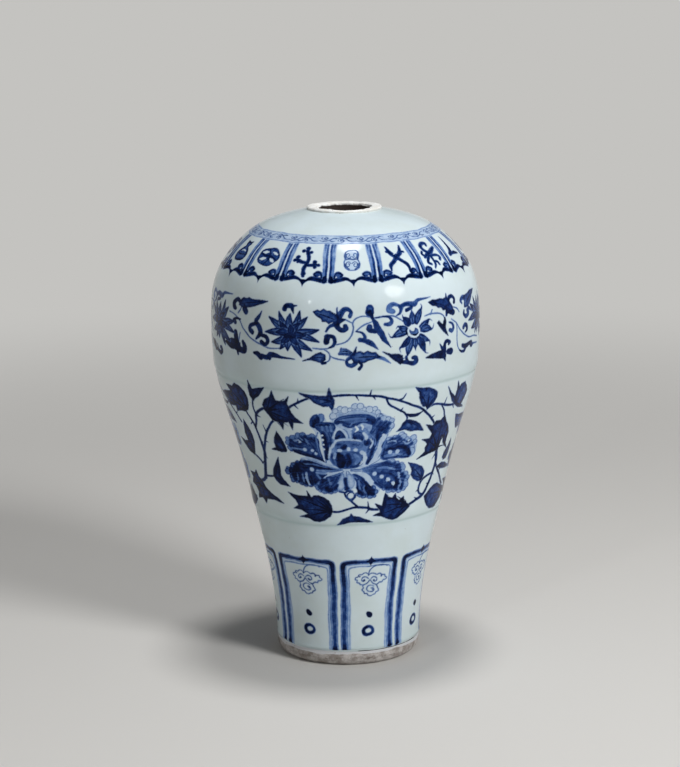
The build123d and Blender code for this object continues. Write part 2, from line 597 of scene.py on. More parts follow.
@dataclass
class CollarBand:
    """Sixteen hanging panels on the shoulder, each with an emblem over a bracketed edge."""

    centres: Sequence[float] = (-64.6, -42.0, -19.2, 3.6, 26.6, 48.8, 69.0)
    panels: int = 16
    base: float = 340.0
    top: float = 42.4
    waist: float = 26.0
    foot: float = 6.4
    cusp: Run = (-1.8, 8, -0.8, 5.6, 0.1, 1.4, 0.9, 5.6, 1.9, 8)
    wheel_lights: tuple = (
        (-3.2, 30.4, 0.3, 3.2), (3.4, 30.2, -0.5, 2.4), (-3, 23.6, 0.35, 3.6), (3.3, 23.4, -0.7, 3),
    )
    wheel_spokes: tuple = (
        (-6, 28.6, -2, 27, 1, 27.4, 5.6, 24.2), (-1.6, 33.6, 0.4, 29, 1, 24, -0.6, 19),
    )
    coral_knobs: tuple = (
        (-1, 37.6, 4.2), (-3.2, 34.6, 3.6), (1.2, 33.6, 3.4), (-5.4, 28.4, 4), (-6.6, 25.2, 3.6),
        (-4.6, 24, 3.4), (4.4, 23.8, 4), (6.4, 21.2, 3.2), (4.6, 19.2, 3.4), (-0.4, 13, 4.4),
    )
    coral_limbs: tuple = (
        Limb((-0.4, 10.8, -0.6, 17, 0.2, 21.6, 0.8, 26.6, -0.2, 31.4, -1.2, 35),
         (2.8, 3.8, 3.8, 3.6, 3.6, 3.4)),
        Limb((-0.4, 23, -3.2, 23.8, -5.2, 25.6), (3, 3.2, 3.6)),
        Limb((0.6, 20.4, 3, 20.6, 4.8, 21.4), (2.8, 3, 3.2)),
    )
    coil_edge: Run = (
        -3.6, 20, -3.8, 24.4, -3.3, 27, -3.7, 31, -3.2, 34.4, -1.8, 36.4, 0, 36.8, 1.8, 36.6, 3.2, 34.6,
        3.7, 31.4, 3.2, 27, 3.8, 23.6, 3.4, 19.4, 1.8, 17, 0, 16.6, -1.8, 17,
    )
    horn_limbs: tuple = (
        Limb((-4.4, 14.6, -4, 19.6, -1.6, 23.6, 0.8, 27.8, 3.4, 31.6, 4.6, 38.6),
         (1.4, 3.6, 3.8, 4.4, 4.4, 1.6)),
        Limb((4.8, 12.6, 4.6, 18.6, 2.2, 23.4, -0.4, 27.6, -2.8, 31.6, -4.2, 37.8),
         (2.2, 3.6, 3.4, 4.2, 4.2, 1.6)),
        Limb((3.6, 32.4, 5.6, 31.8), (3.4, 2.2)),
        Limb((-3.2, 32.6, -4.4, 32.8), (3.4, 2.6)),
        Limb((4.8, 14, 6.4, 12.6), (2.6, 1.6)),
    )
    ribbon_limbs: tuple = (
        Limb((0, 26.4, -2.8, 30.6, -3.6, 34.8, -1.2, 38, 1.4, 37.4, 1.2, 35.2),
         (3.4, 3.8, 3.8, 3.8, 3.2, 2.6)),
        Limb((-5, 23.6, -1.8, 26, 0.6, 27.6, 3.4, 30, 5.6, 31.8), (3, 4.4, 4.8, 4, 2.4)),
        Limb((-1.6, 24.6, 1.4, 24.4, 4, 23.8, 5.4, 21.4, 4.4, 19.2), (3.6, 3.2, 3, 3, 3)),
        Limb((-4.4, 24.6, -5.8, 27, -5, 29.4), (2.4, 2.8, 2.4)),
        Limb((-1.4, 25, -3.4, 21.6, -4.6, 18.6, -3.2, 16.2), (3.4, 3.2, 3, 2.6)),
        Limb((-0.6, 24.6, -0.4, 19.6, -0.6, 15.4, -2, 12.2), (3.2, 2.8, 2.6, 1.4)),
        Limb((-0.4, 18, 1.6, 17.4, 2, 14.6), (2.4, 2.8, 2.6)),
    )
    tusk_limbs: tuple = (
        Limb((-4.6, 20.6, -2.4, 22.4, -0.6, 27, -0.4, 32.6, -0.2, 39), (3.4, 5, 4.6, 3, 1.2)),
        Limb((-1.6, 21.6, 2.2, 21.4, 5.2, 20), (3.4, 3.4, 1.8)),
    )
    flask_side: Run = (2.4, 17.6, 4.6, 19.6, 5.4, 24.4, 3.2, 29, 1.5, 31.4, 2.2, 35.6)

    def paint(self, painter: Painter) -> None:
        """Paint each panel: its bracket, then its emblem and the bar to the next one.

        Args:
            painter: Painter of the whole vase.
        """
        places = places_round(self.centres, self.panels)
        emblems = (self.flask, self.wheel, self.coral, self.coils, self.horns, self.ribbons, self.tusk)
        gaps = np.diff(places + [places[0] + 360])
        for number, centre in enumerate(places):
            self.bracket(painter.at(centre, self.base), 0.5 * gaps[number - 1], 0.5 * gaps[number])
        for number, centre in enumerate(places):
            self.bar(painter.at(centre + 0.5 * gaps[number], self.base))
            emblems[number % len(emblems)](painter.at(centre, self.base))

    def bar(self, p: Painter) -> None:
        """Two stripes, pale outside and dark inside, either side of a white line.

        Args:
            p: Painter at the bar's middle.
        """
        top, waist, foot = self.top, self.waist, self.foot
        for side in (-1, 1):
            pale = [2.1 * side, top, 1.8 * side, waist, 1.6 * side, foot]
            p.stroke(Ink.WASH, pale, (4.6, 4.2, 3.8), (0.16, 0.26, 0.4))
            dark = [1.15 * side, top - 0.6, 1.05 * side, waist, 1.05 * side, foot]
            p.stroke(Ink.LINE, dark, (1.9, 1.8, 2.2), (0.5, 0.56, 0.76))
            p.stroke(Ink.LINE, [2.7 * side, top - 0.4, 2.3 * side, 34], (1.8, 0.6), (0.45, 0.24))
            p.stroke(Ink.LINE, [1.7 * side, 10, 1.8 * side, foot], (2.6, 3.4), 0.92)
        p.gap([0, top + 1, 0, waist, 0, foot - 2], (0.9, 0.9, 0.8))

    def bracket(self, p: Painter, left: float, right: float) -> None:
        """Bracketed lower edge: a dark bar on each side, a curl on it, and a cusp in the middle.

        Args:
            p: Painter at the panel's middle.
            left: Degrees from there to the bar on the left.
            right: Degrees to the bar on the right.
        """
        for side, half in ((-1, left), (1, right)):
            flip = (side, 1)
            run = pairs([half, 7.6, half - 2.6, 7.2, 7.2, 8, 4, 9, 1.9, 7.8, 0.2, 4.6]) * flip
            p.stroke(Ink.WASH, run, (3.8, 4.2, 4.6, 3.8, 2.2, 1.2), 0.72)
            p.stroke(Ink.LINE, run, (1.8, 2.2, 2.0, 2.0, 1.5, 0.8), 0.9)
            curl = pairs([8.6, 9.4, 8.3, 12.4, 6.6, 14, 5.2, 12.6]) * flip
            p.stroke(Ink.WASH, curl, (2.6, 3.2, 3.6, 3.4), 0.6)
            p.dot(Ink.WASH, (6.2 * side, 12.4), 4.4, 0.56)
            edge = pairs([8.4, 9.6, 8, 13.2, 6.2, 14.4, 4.7, 12.6, 5.6, 11]) * flip
            p.stroke(Ink.LINE, edge, (1.2, 1.2, 1.4, 1.6, 1.6), 0.84)
        p.canvas.add(Ink.LINE, p.shape(self.cusp), 0.9)

    def wheel(self, p: Painter) -> None:
        """Round emblem with four white fields.

        Args:
            p: Painter at the panel's middle.
        """
        turn = np.linspace(0, 2 * np.pi, 25)[:-1]
        disc = p.wash(ellipse((0, 26.4), 13.4, 17.6, turn, 1 + 0.05 * np.cos(5 * turn)), 0.62, 0.56, 3.0)
        p.canvas.rim(disc, 1.1, 0.76)
        for angle, level, lean, size in self.wheel_lights:
            along, up = 1.9 * np.cos(lean), 2.4 * np.sin(lean)
            p.gap([angle - along, level - up, angle, level, angle + along, level + up], (1.2, size, 1.4))
        for path in self.wheel_spokes:
            p.stroke(Ink.LINE, path, (1.2, 2.0, 2.2, 1.2), 0.8)

    def coral(self, p: Painter) -> None:
        """Branch with knobbed ends.

        Args:
            p: Painter at the panel's middle.
        """
        for limb in self.coral_limbs:
            limb.paint(p, 0.6)
        for angle, level, size in self.coral_knobs:
            p.dot(Ink.WASH, (angle, level), size, 0.66)
            p.dot(Ink.LINE, (angle, level), 0.5 * size, 0.84)

    def coils(self, p: Painter) -> None:
        """Pale pair of coiled scrolls, pinched at the waist.

        Args:
            p: Painter at the panel's middle.
        """
        p.canvas.rim(p.wash(smoothed(self.coil_edge, closed=True), 0.16, -0.06, 1.6), 0.9, 0.42)
        for side in (-1, 1):
            flip = (side, 1)
            p.stroke(Ink.LINE, pairs([3.2, 33.6, 3.2, 30.6, 2.7, 27]) * flip, (1.2, 1.5, 1.0), 0.5)
            p.stroke(Ink.LINE, spiral((1.7 * side, 31.6), 3.0 * side, 6.4, 200, 1.2), (0.9, 1.0, 0.9), 0.4)
            p.stroke(Ink.LINE, spiral((1.7 * side, 22), 3.0 * side, 6.6, 160, -1.2), (0.9, 1.0, 0.9), 0.42)
            p.stroke(Ink.LINE, pairs([3.4, 23, 3.1, 20, 1.5, 17.8]) * flip, (1.1, 1.3, 1.5), 0.52)
        p.stroke(Ink.LINE, [-2.9, 27.2, -1, 28, 1, 27.4, 2.9, 28], (1.0, 1.4, 1.4, 1.2), 0.5)

    def horns(self, p: Painter) -> None:
        """Pair of crossed horns with forked ends.

        Args:
            p: Painter at the panel's middle.
        """
        for limb in self.horn_limbs:
            limb.paint(p, 0.62)
        p.gap([-0.9, 29.6, 0.2, 30.6, 1.2, 30.4], (0.6, 0.9, 0.6))

    def ribbons(self, p: Painter) -> None:
        """Knotted ribbons with curled ends."""
        for limb in self.ribbon_limbs:
            limb.paint(p, 0.56)

    def tusk(self, p: Painter) -> None:
        """Tusk on a low base."""
        for limb in self.tusk_limbs:
            limb.paint(p, 0.65)

    def flask(self, p: Painter) -> None:
        """Flask with a ribbon at its neck.

        Args:
            p: Painter at the panel's middle.
        """
        right = pairs(self.flask_side)
        body = smoothed(np.vstack([(right * (-1, 1)), right[::-1]]), closed=True)
        p.canvas.rim(p.wash(body, 0.7, 0.5, 3.0), 1.3, 0.9)
        p.stroke(Ink.LINE, [-4.4, 24, 0, 22.8, 4.4, 24], (1.0, 1.2, 1.0), 0.9)
        p.gap([-2.4, 26.6, 0, 27.6, 2.4, 26.6], (1.0, 1.8, 1.0))
        p.stroke(Ink.LINE, [-2.6, 37.4, 0, 36.4, 2.6, 37.4], (1.4, 1.6, 1.4), 0.9)


@dataclass(frozen=True)
class Spray:
    """Leaves and vines from one lotus flower to the next, measured from the first."""

    pitch: float
    vines: tuple
    curls: tuple
    leaves: tuple

    def paint(self, p: Painter, pitch: float) -> None:
        """Paint the spray, stretched to the way between its flowers.

        Args:
            p: Painter at the first flower.
            pitch: Degrees to the next flower.
        """
        scale = (pitch / self.pitch, 1)
        for run in self.vines:
            p.stroke(Ink.LINE, pairs(run) * scale, (1.0, 1.3, 1.0), 0.4)
        for run, widths, tone in self.curls:
            p.stroke(Ink.WASH, pairs(run) * scale, widths, tone - 0.17)
            p.stroke(Ink.LINE, pairs(run) * scale, np.asarray(widths) * 0.45, (tone - 0.02, tone - 0.2))
        for outline, rib, edge, core in self.leaves:
            patch = p.wash(pairs(outline) * scale, edge - 0.1, core - 0.05, 2.4)
            p.canvas.rim(patch, 0.8, edge - 0.04)
            p.stroke(Ink.LINE, pairs(rib) * scale, (0.5, 1.2, 0.6), 0.86)


LEFT_SPRAY = Spray(
    pitch=42.5,
    vines=(
        (9, 43.5, 12.5, 42, 16, 38.5, 18.5, 32, 21, 28, 24, 24, 28, 21, 33, 18, 39, 19),
        (17, 27, 16.4, 22, 16, 17),
        (15.4, 43.6, 16.8, 47, 17.4, 51),
    ),
    curls=(
        ((16, 53.4, 14, 55, 12, 52.4, 12.4, 48.8, 13.4, 47.6), (3.2, 4, 4.6, 4.8, 3.6), 0.95),
        ((19, 51, 19.4, 48, 20.2, 45.8), (4.5, 6, 5.4), 0.9),
        ((17, 38.6, 14.6, 38.8, 12.6, 36.6, 13.6, 35), (1.4, 2.2, 3, 4.4), 0.95),
        ((15.2, 18, 14.2, 22, 13.8, 26), (5, 6.4, 5.6), 0.98),
        ((16.5, 12.6, 19.4, 12.4, 19.8, 16, 18.8, 19.6), (5, 5.2, 5.2, 3.4), 0.95),
        ((15, 11, 15.2, 8.6), (3.4, 2.2), 0.95),
        ((26.4, 24.4, 28.6, 29, 28.2, 34, 26.2, 38.4, 27.4, 42.8, 29, 48.4), (1.6, 4.6, 5.2, 4.6, 3.4, 0.6),
         0.85),
        ((26.2, 37, 23.4, 34.8, 23, 31.4, 24.4, 29.6), (3.4, 3.8, 4, 4.2), 0.9),
        ((28.4, 28, 31.4, 27.2, 32.3, 23.4, 31, 20.6, 29.2, 22.4), (2.4, 3.8, 3.6, 3.4, 4), 0.95),
        ((25, 12.4, 27, 12.2, 28.8, 9.8), (2.2, 4.6, 5.4), 0.95),
        ((29.4, 11, 32, 10.2, 33.8, 12.4, 36.4, 12.2, 39, 11, 44.6, 10.4), (4.2, 4.4, 5.2, 4, 2.6, 0.6),
         0.9),
        ((33.4, 9.4, 33.4, 13), (3, 3.8), 0.9),
        ((40.3, 52.4, 41, 55, 43.4, 55.2, 44, 52.4, 44.4, 49.4), (4.8, 4.2, 4.6, 2.8, 0.8), 0.95),
        ((42.6, 55, 45.8, 55.5), (3.2, 0.8), 0.9),
    ),
    leaves=(
        ((15.4, 51, 16.6, 55.4, 17.8, 57, 19.6, 56.6, 21.4, 58, 23.4, 57, 27, 57, 31.8, 56.6, 27.4, 53.6,
         25, 51.8, 22.6, 50.2, 20.4, 49, 18, 49.2), (17, 52, 23, 54, 29, 56), 0.9, 0.65),
        ((4.8, 16, 8.4, 19.4, 10.6, 20.6, 14, 20.2, 17, 18, 17.4, 14, 15.6, 11.2, 13, 12, 10, 11.8,
         7.4, 13.4), (16, 16, 11, 16, 6.4, 16), 0.98, 0.9),
    ),
)

MIDDLE_SPRAY = Spray(
    pitch=52.5,
    vines=(
        (9.9, 20.2, 13.5, 20, 16.1, 20.4),
        (14.7, 19.8, 16.7, 17, 17.1, 14, 16.5, 10.4, 14.9, 8.6),
        (17, 14.6, 19.5, 12.2, 22.9, 11),
        (20.1, 23.4, 23.5, 25.6, 26, 31, 26.7, 37, 26.4, 41, 27.5, 45, 30.5, 47.3, 33.9, 46.4),
        (23.5, 44.4, 26.1, 41.6),
        (28.1, 35.2, 30.9, 39.6, 34.1, 42.6),
        (34.5, 45.6, 39.5, 46.5, 43.5, 46, 46.1, 43, 47.7, 40.6),
    ),
    curls=(
        ((20.5, 45.6, 20.1, 54.4), (2.8, 0.7), 0.8),
        ((19.1, 40.4, 17.1, 38.4, 15.7, 34.2), (3.2, 2.4, 1.6), 0.8),
        ((21.1, 47, 22.6, 51.8, 24.4, 52.8, 25.6, 50.2, 25.2, 46.8), (5.2, 4.4, 3.6, 3, 3), 0.75),
        ((19.9, 42, 20.3, 38.4, 21.9, 35.8, 23.8, 36.8, 23.3, 39.4), (5.4, 4.6, 4.2, 3.8, 3.4), 0.9),
        ((19.9, 41.6, 21.1, 43.6, 23.1, 44.4), (4.4, 4.6, 1.4), 0.98),
        ((15.7, 26, 16.1, 29.4), (5.2, 5.6), 0.95),
        ((16.1, 30.8, 18.6, 29.6, 19.3, 26, 18.5, 22.6, 16.3, 20.4), (3, 3.4, 3.4, 2.8, 0.8), 0.85),
        ((15.1, 8.4, 13.9, 8), (2.4, 3), 0.9),
        ((33.3, 50.6, 33.4, 53), (7.6, 7), 0.75),
        ((33.4, 51, 34.1, 47.6, 34.5, 45.2), (4.6, 3.4, 2), 0.95),
        ((34.5, 45.4, 35.7, 41.6, 36.5, 36.6, 37.9, 32.4, 39.3, 27.4, 42.3, 20.2),
         (1.8, 4.4, 6, 5.4, 4.4, 0.6), 0.8),
        ((35.5, 34.4, 33.3, 35.6, 33.3, 38.4), (3.6, 4.4, 4.6), 0.85),
        ((27.9, 34.8, 30.1, 33.4, 31.3, 30.6, 30.9, 27.8, 29.5, 27.8), (1.2, 1.8, 2.6, 3.6, 3.6), 0.8),
        ((30.7, 27.4, 32.7, 25.6, 34.5, 23.4, 36.9, 18.8), (3.4, 4.4, 3.6, 0.5), 0.75),
        ((36.1, 46, 39.5, 46.4, 41.7, 45, 42.5, 42.2, 41.5, 39.8, 39.5, 40), (1, 1.5, 2.2, 3.2, 3.8, 2.2),
         0.7),
        ((46.3, 55, 44.1, 56.2, 42.1, 54.4, 41.7, 51.4, 43.3, 50.2), (2.4, 3.4, 4.2, 4.6, 4.6), 0.55),
        ((47.3, 52.6, 46.4, 48.6, 44.7, 46.2), (3.6, 2.2, 0.8), 0.7),
        ((46.9, 53.6, 49.5, 55.4, 53.5, 54.4, 55.5, 57.4, 61.9, 58.6), (4, 3.8, 4.6, 2.8, 0.5), 0.7),
        ((49.5, 50.4, 51.9, 51.8), (3.2, 2.6), 0.9),
        ((21.1, 16.2, 23.5, 16, 26.5, 15.4), (2.4, 2.8, 3), 0.95),
        ((26.9, 15.4, 27.9, 22.2), (3.6, 0.6), 0.9),
        ((25.5, 13.4, 23.9, 10.6, 24.1, 7.4, 25.9, 6, 27.5, 8), (3.4, 2.6, 3, 3.6, 4.2), 0.75),
        ((28.9, 10, 30.1, 6.4, 29.1, 2.8), (3.4, 2.4, 2.8), 0.95),
        ((36.9, 12.6, 39.3, 10.4, 42.1, 6.2), (3.2, 2.8, 0.7), 0.5),
        ((46.9, 6.6, 49.5, 6.2, 52.1, 4.8, 53.7, 6.4, 53.3, 9.2, 52.1, 9.6), (3, 3.8, 4, 4.2, 3.8, 3), 0.9),
        ((48.9, 10.8, 49.5, 7), (2.2, 3.2), 0.95),
    ),
    leaves=(
        ((10.3, 50.8, 12.1, 52.6, 13.3, 51.8, 14.5, 53.6, 15.9, 52, 17.3, 51.8, 18.5, 50, 20.1, 48.6,
         20.9, 44.6, 19.7, 42, 18.3, 42.6, 16.9, 40.8, 15.9, 42.8, 14.3, 42.8, 13.7, 45.4, 12.3, 46.6),
         (19.5, 44.6, 15.5, 47.6, 11.5, 50), 0.85, 0.55),
        ((5.7, 9.2, 8.9, 11.8, 11.1, 15.2, 13.3, 17, 15.1, 15, 15.2, 11.4, 13.5, 8.2, 11.1, 9.4, 8.7, 10.2),
         (14.7, 12.4, 12.9, 12.6, 9.7, 11.6), 0.9, 0.6),
        ((20.9, 16, 21.7, 20.6, 23.9, 20.4, 26.1, 17.6, 26.5, 15.2, 23.5, 15), (21.9, 18, 23.5, 18.4,
         25.5, 17), 0.6, 0.4),
        ((25.5, 14, 27.5, 17.4, 29.5, 18.4, 30.9, 17, 32.5, 18.4, 34.3, 16.6, 35.9, 16.6, 37.7, 12.8,
         35.1, 11.4, 32.9, 10.4, 31.1, 8.4, 29.1, 9, 26.9, 8.6, 26.1, 11), (27.5, 13, 31.5, 13.4,
         36.1, 13.4), 0.85, 0.55),
        ((38.9, 16.6, 42.3, 13.6, 45.1, 13.8, 47.1, 12.2, 47.5, 8, 46.5, 4.6, 44.1, 7.8, 41.9, 11.6),
         (45.5, 8.6, 43.9, 11, 41.1, 14), 1, 0.95),
    ),
)

RIGHT_SPRAY = Spray(
    pitch=46,
    vines=(
        (5.8, 42.8, 9, 44, 13, 44, 15.6, 41.4, 16.8, 38),
        (8.8, 43.6, 9.8, 47.4),
        (22, 47, 25, 45, 26.6, 41.6),
        (21, 37, 24, 33, 27, 26, 31, 20, 35, 16.6, 41, 16, 46, 14),
        (24.3, 33, 24.6, 24, 24.8, 16, 25.6, 11, 27, 8),
    ),
    curls=(
        ((19.4, 53, 20.4, 55.4, 22.1, 56, 23.4, 53.6, 23.2, 50.6), (3.4, 3.4, 3.2, 2.8, 3.2), 0.9),
        ((18.4, 54, 18.7, 58.8), (3, 0.6), 0.9),
        ((20, 44, 22.2, 42.2), (5, 5.2), 0.95),
        ((18.4, 45, 17.8, 41.4), (4.6, 2.6), 0.9),
        ((19.4, 35, 21.4, 33.2, 22, 29.6, 21, 27.4, 19.8, 28.2), (1.2, 2.2, 2.8, 3.8, 3.6), 0.75),
        ((15.2, 12, 14.4, 14.6, 13.3, 17.8), (4, 2.6, 0.8), 0.9),
        ((16, 10.6, 16.2, 16.6, 17.6, 19.2, 19.4, 17.8, 18.8, 16.2), (5, 3.6, 3.2, 3.2, 2.6), 0.9),
        ((18.4, 10, 20.4, 9.4), (4.6, 6.4), 0.95),
        ((31.8, 52, 29.9, 52.6, 28.4, 50.8, 29.2, 48.2), (4.6, 3.8, 3.4, 1.8), 0.7),
        ((30.4, 41.4, 30.2, 38.4, 32, 36, 34.2, 37.8, 33.4, 40.6), (2.4, 3.2, 3.8, 4.6, 3.8), 0.8),
        ((34.6, 42, 36.2, 41, 38.4, 37.8), (4, 2.8, 0.7), 0.7),
        ((31.4, 22, 33, 24, 32.6, 27.4, 30.8, 28.6, 29.9, 26.8), (1.4, 3.4, 4, 4.2, 4.2), 0.8),
        ((26.6, 8.4, 28.4, 6.6, 30.6, 6.4, 32, 8.6), (1.2, 2.6, 2.8, 3.2), 0.9),
        ((29, 11.6, 31.4, 10, 34, 10.4, 36, 10.8, 38, 9, 40.6, 9.6), (3.4, 4.8, 4, 3.6, 5, 1.6), 0.95),
        ((35.6, 11.4, 37.6, 10.6, 39.4, 8.8), (2.8, 4.4, 2.6), 0.95),
        ((40, 9.6, 46, 8.8), (2, 0.6), 0.6),
    ),
    leaves=(
        ((8.2, 54.2, 10.6, 55.6, 12.6, 55.2, 14.4, 55.6, 16.4, 54.6, 18, 55.4, 19.8, 53, 21.4, 48.4,
         22.4, 45, 20.8, 42.6, 18.6, 43, 17.4, 45.8, 15.8, 46, 14.8, 48.6, 13.2, 48.6, 12.2, 50.4,
         10.2, 51), (20, 45, 16, 49.6, 10.6, 53.6), 0.92, 0.75),
        ((12.2, 35.6, 13.2, 37.2, 14.4, 35.2, 15.6, 33.6, 16, 37, 16.8, 39.8, 17.5, 36, 17.1, 31,
         18.4, 23.6, 16, 27.4, 14, 31), (14, 34, 16, 31, 17.4, 27), 1, 0.95),
        ((5.8, 7.8, 9, 10.6, 13, 12.4, 15.6, 11.6, 17.2, 8, 17, 2.4, 15.6, 5.4, 12, 6.2, 9, 6.8), (16, 8.6,
         12.4, 9.4, 8, 8.4), 1, 0.85),
        ((30.8, 44.6, 31.4, 49, 31.6, 53.6, 35, 54.4, 38.6, 56.6, 43, 56.4, 40, 52.4, 38, 48.4, 35.6, 44.8,
         33.4, 43.6), (32.4, 47, 36, 50.6, 41, 55.4), 0.8, 0.6),
    ),
)


@dataclass
class LotusBand:
    """Lotus scroll round the shoulder: flowers on a thin vine, between curling leaves."""

    flowers: Sequence[float] = (-66.0, -23.5, 29.0, 75.0)
    flower_count: int = 7
    base: float = 270.0
    radius: float = 116.0
    full_centre: Point = (0.3, 31.0)
    open_centre: Point = (0.0, 31.6)
    ring_width: float = 12.2
    petal_start: float = 5.6
    full_tips: Run = (
        -9.5, 44.5, -4.7, 49.5, 4.7, 51.4, 7.9, 46.4, -8.4, 23.4, 9.5, 18, -4.2, 18.2, 0.4, 48.8,
        -11.3, 31.4, 12.9, 35.4, 12.7, 25.6, -0.8, 17.6, 5, 12.6,
    )
    heart_tips: Run = (-4.2, 41, 4.6, 41.5, -6.4, 32.5, 7.4, 31, -3.8, 24.4, 3.4, 22.4, 0.4, 39.4)
    open_tips: Run = (
        -0.7, 48.8, 4.4, 50, 7.6, 39.6, 8.9, 31.4, 7.6, 22.4, 5.4, 13.2, 0.6, 16.6, -3, 11.6, -6.4, 19,
        -9.8, 28.4, -7, 36.8, -4.9, 44.6,
    )
    swirl: Run = (-2, 33.4, -1.8, 30, 0.2, 28, 2, 29.4, 1.8, 33, 0.6, 34.4, 0.2, 32, -0.8, 31.6)

    def paint(self, painter: Painter) -> None:
        """Paint the sprays, then the flowers over them.

        Args:
            painter: Painter of the whole vase.
        """
        places = places_round(self.flowers, self.flower_count)
        gaps = np.diff(places + [places[0] + 360])
        sprays = (LEFT_SPRAY, MIDDLE_SPRAY, RIGHT_SPRAY)
        for spray, place, gap in zip((*sprays, *sprays, MIDDLE_SPRAY), places, gaps):
            spray.paint(painter.at(place, self.base), gap)
        for number, place in enumerate(places):
            flower = self.open_flower if number % 3 == 2 else self.full_flower
            flower(painter.at(place, self.base))

    def petal(self, p: Painter, root: Point, tip: Point, width: float, tones: Point, bend: float) -> None:
        """Pointed petal with a dark edge and a rib, cut free of what lies under it.

        Args:
            p: Painter at the flower's middle.
            root: Where the petal starts.
            tip: Where it ends.
            width: Its greatest width.
            tones: Tones at its edge and inside it.
            bend: How far it bends, as a share of its length.
        """
        length = p.span(root, tip)
        outline = p.laid(root, tip, blade_outline(length, width, bend, 0.46))
        patch = p.shape(outline)
        p.canvas.cut(patch, 0.5, (Ink.LINE,))
        p.canvas.add(Ink.WASH, patch, 0.16, 0.5)
        p.wash(outline, *tones, 2.2)
        p.canvas.rim(patch, 0.8, 0.78)
        rib = length * pairs([0.25, 0.2 * bend, 0.55, 0.9 * bend, 0.95, 0.1 / length])
        p.stroke(Ink.LINE, p.laid(root, tip, rib), (0.5, 0.9, 1.0), 0.8)

    def full_flower(self, p: Painter) -> None:
        """Dense flower of long pointed petals, the shorter ones over the longer.

        Args:
            p: Painter at the flower's middle.
        """
        for number, tip in enumerate(pairs(self.full_tips)):
            width, bend = 5.8 + np.sin(3.1 * number), 0.08 * np.sin(2.1 * number)
            self.petal(p, self.full_centre, tip, width, (0.7, 0.46), bend)
        for number, tip in enumerate(pairs(self.heart_tips)):
            self.petal(p, self.full_centre, tip, 5.2, (0.78, 0.58), 0.08 * np.sin(1.7 * number + 1))
        p.stroke(Ink.WASH, [-1.8, 29.4, 0.2, 30.4, 2.2, 29.8], (2.0, 4.0, 2.0), 0.9)

    def open_flower(self, p: Painter) -> None:
        """Flower of parted petals round a white ring with a swirl in it.

        Args:
            p: Painter at the flower's middle.
        """
        centre = np.asarray(self.open_centre)
        for number, tip in enumerate(pairs(self.open_tips)):
            across, up = np.radians(tip[0]) * self.radius, tip[1] - centre[1]
            root = centre + (tip - centre) * self.petal_start / np.hypot(across, up)
            bend = 0.12 * np.sin(2.6 * number)
            tones = (0.68, 0.44 + 0.3 * (number % 3 == 2))
            self.petal(p, root, tip, 5.4 + 0.9 * np.sin(2.9 * number), tones, bend)
            hook = p.span(root, tip) * pairs([0.97, 0.0, 1.1, 0.5 * bend, 1.2, 2.6 * bend])
            p.stroke(Ink.LINE, p.laid(root, tip, hook), (1.5, 1.0, 0.4), 0.66)
        p.canvas.cut(p.disc(centre, self.ring_width))
        p.stroke(Ink.LINE, [-3.0, 36, -3.6, 31.6, -2.6, 27], (0.6, 1.6, 0.6), 0.95)
        p.wash(smoothed(self.swirl, closed=True), 0.6, 0.4, 1.6)
        p.stroke(Ink.LINE, [-1.4, 29, 0.6, 28.2, 2, 30], (0.8, 1.8, 0.8), 0.95)


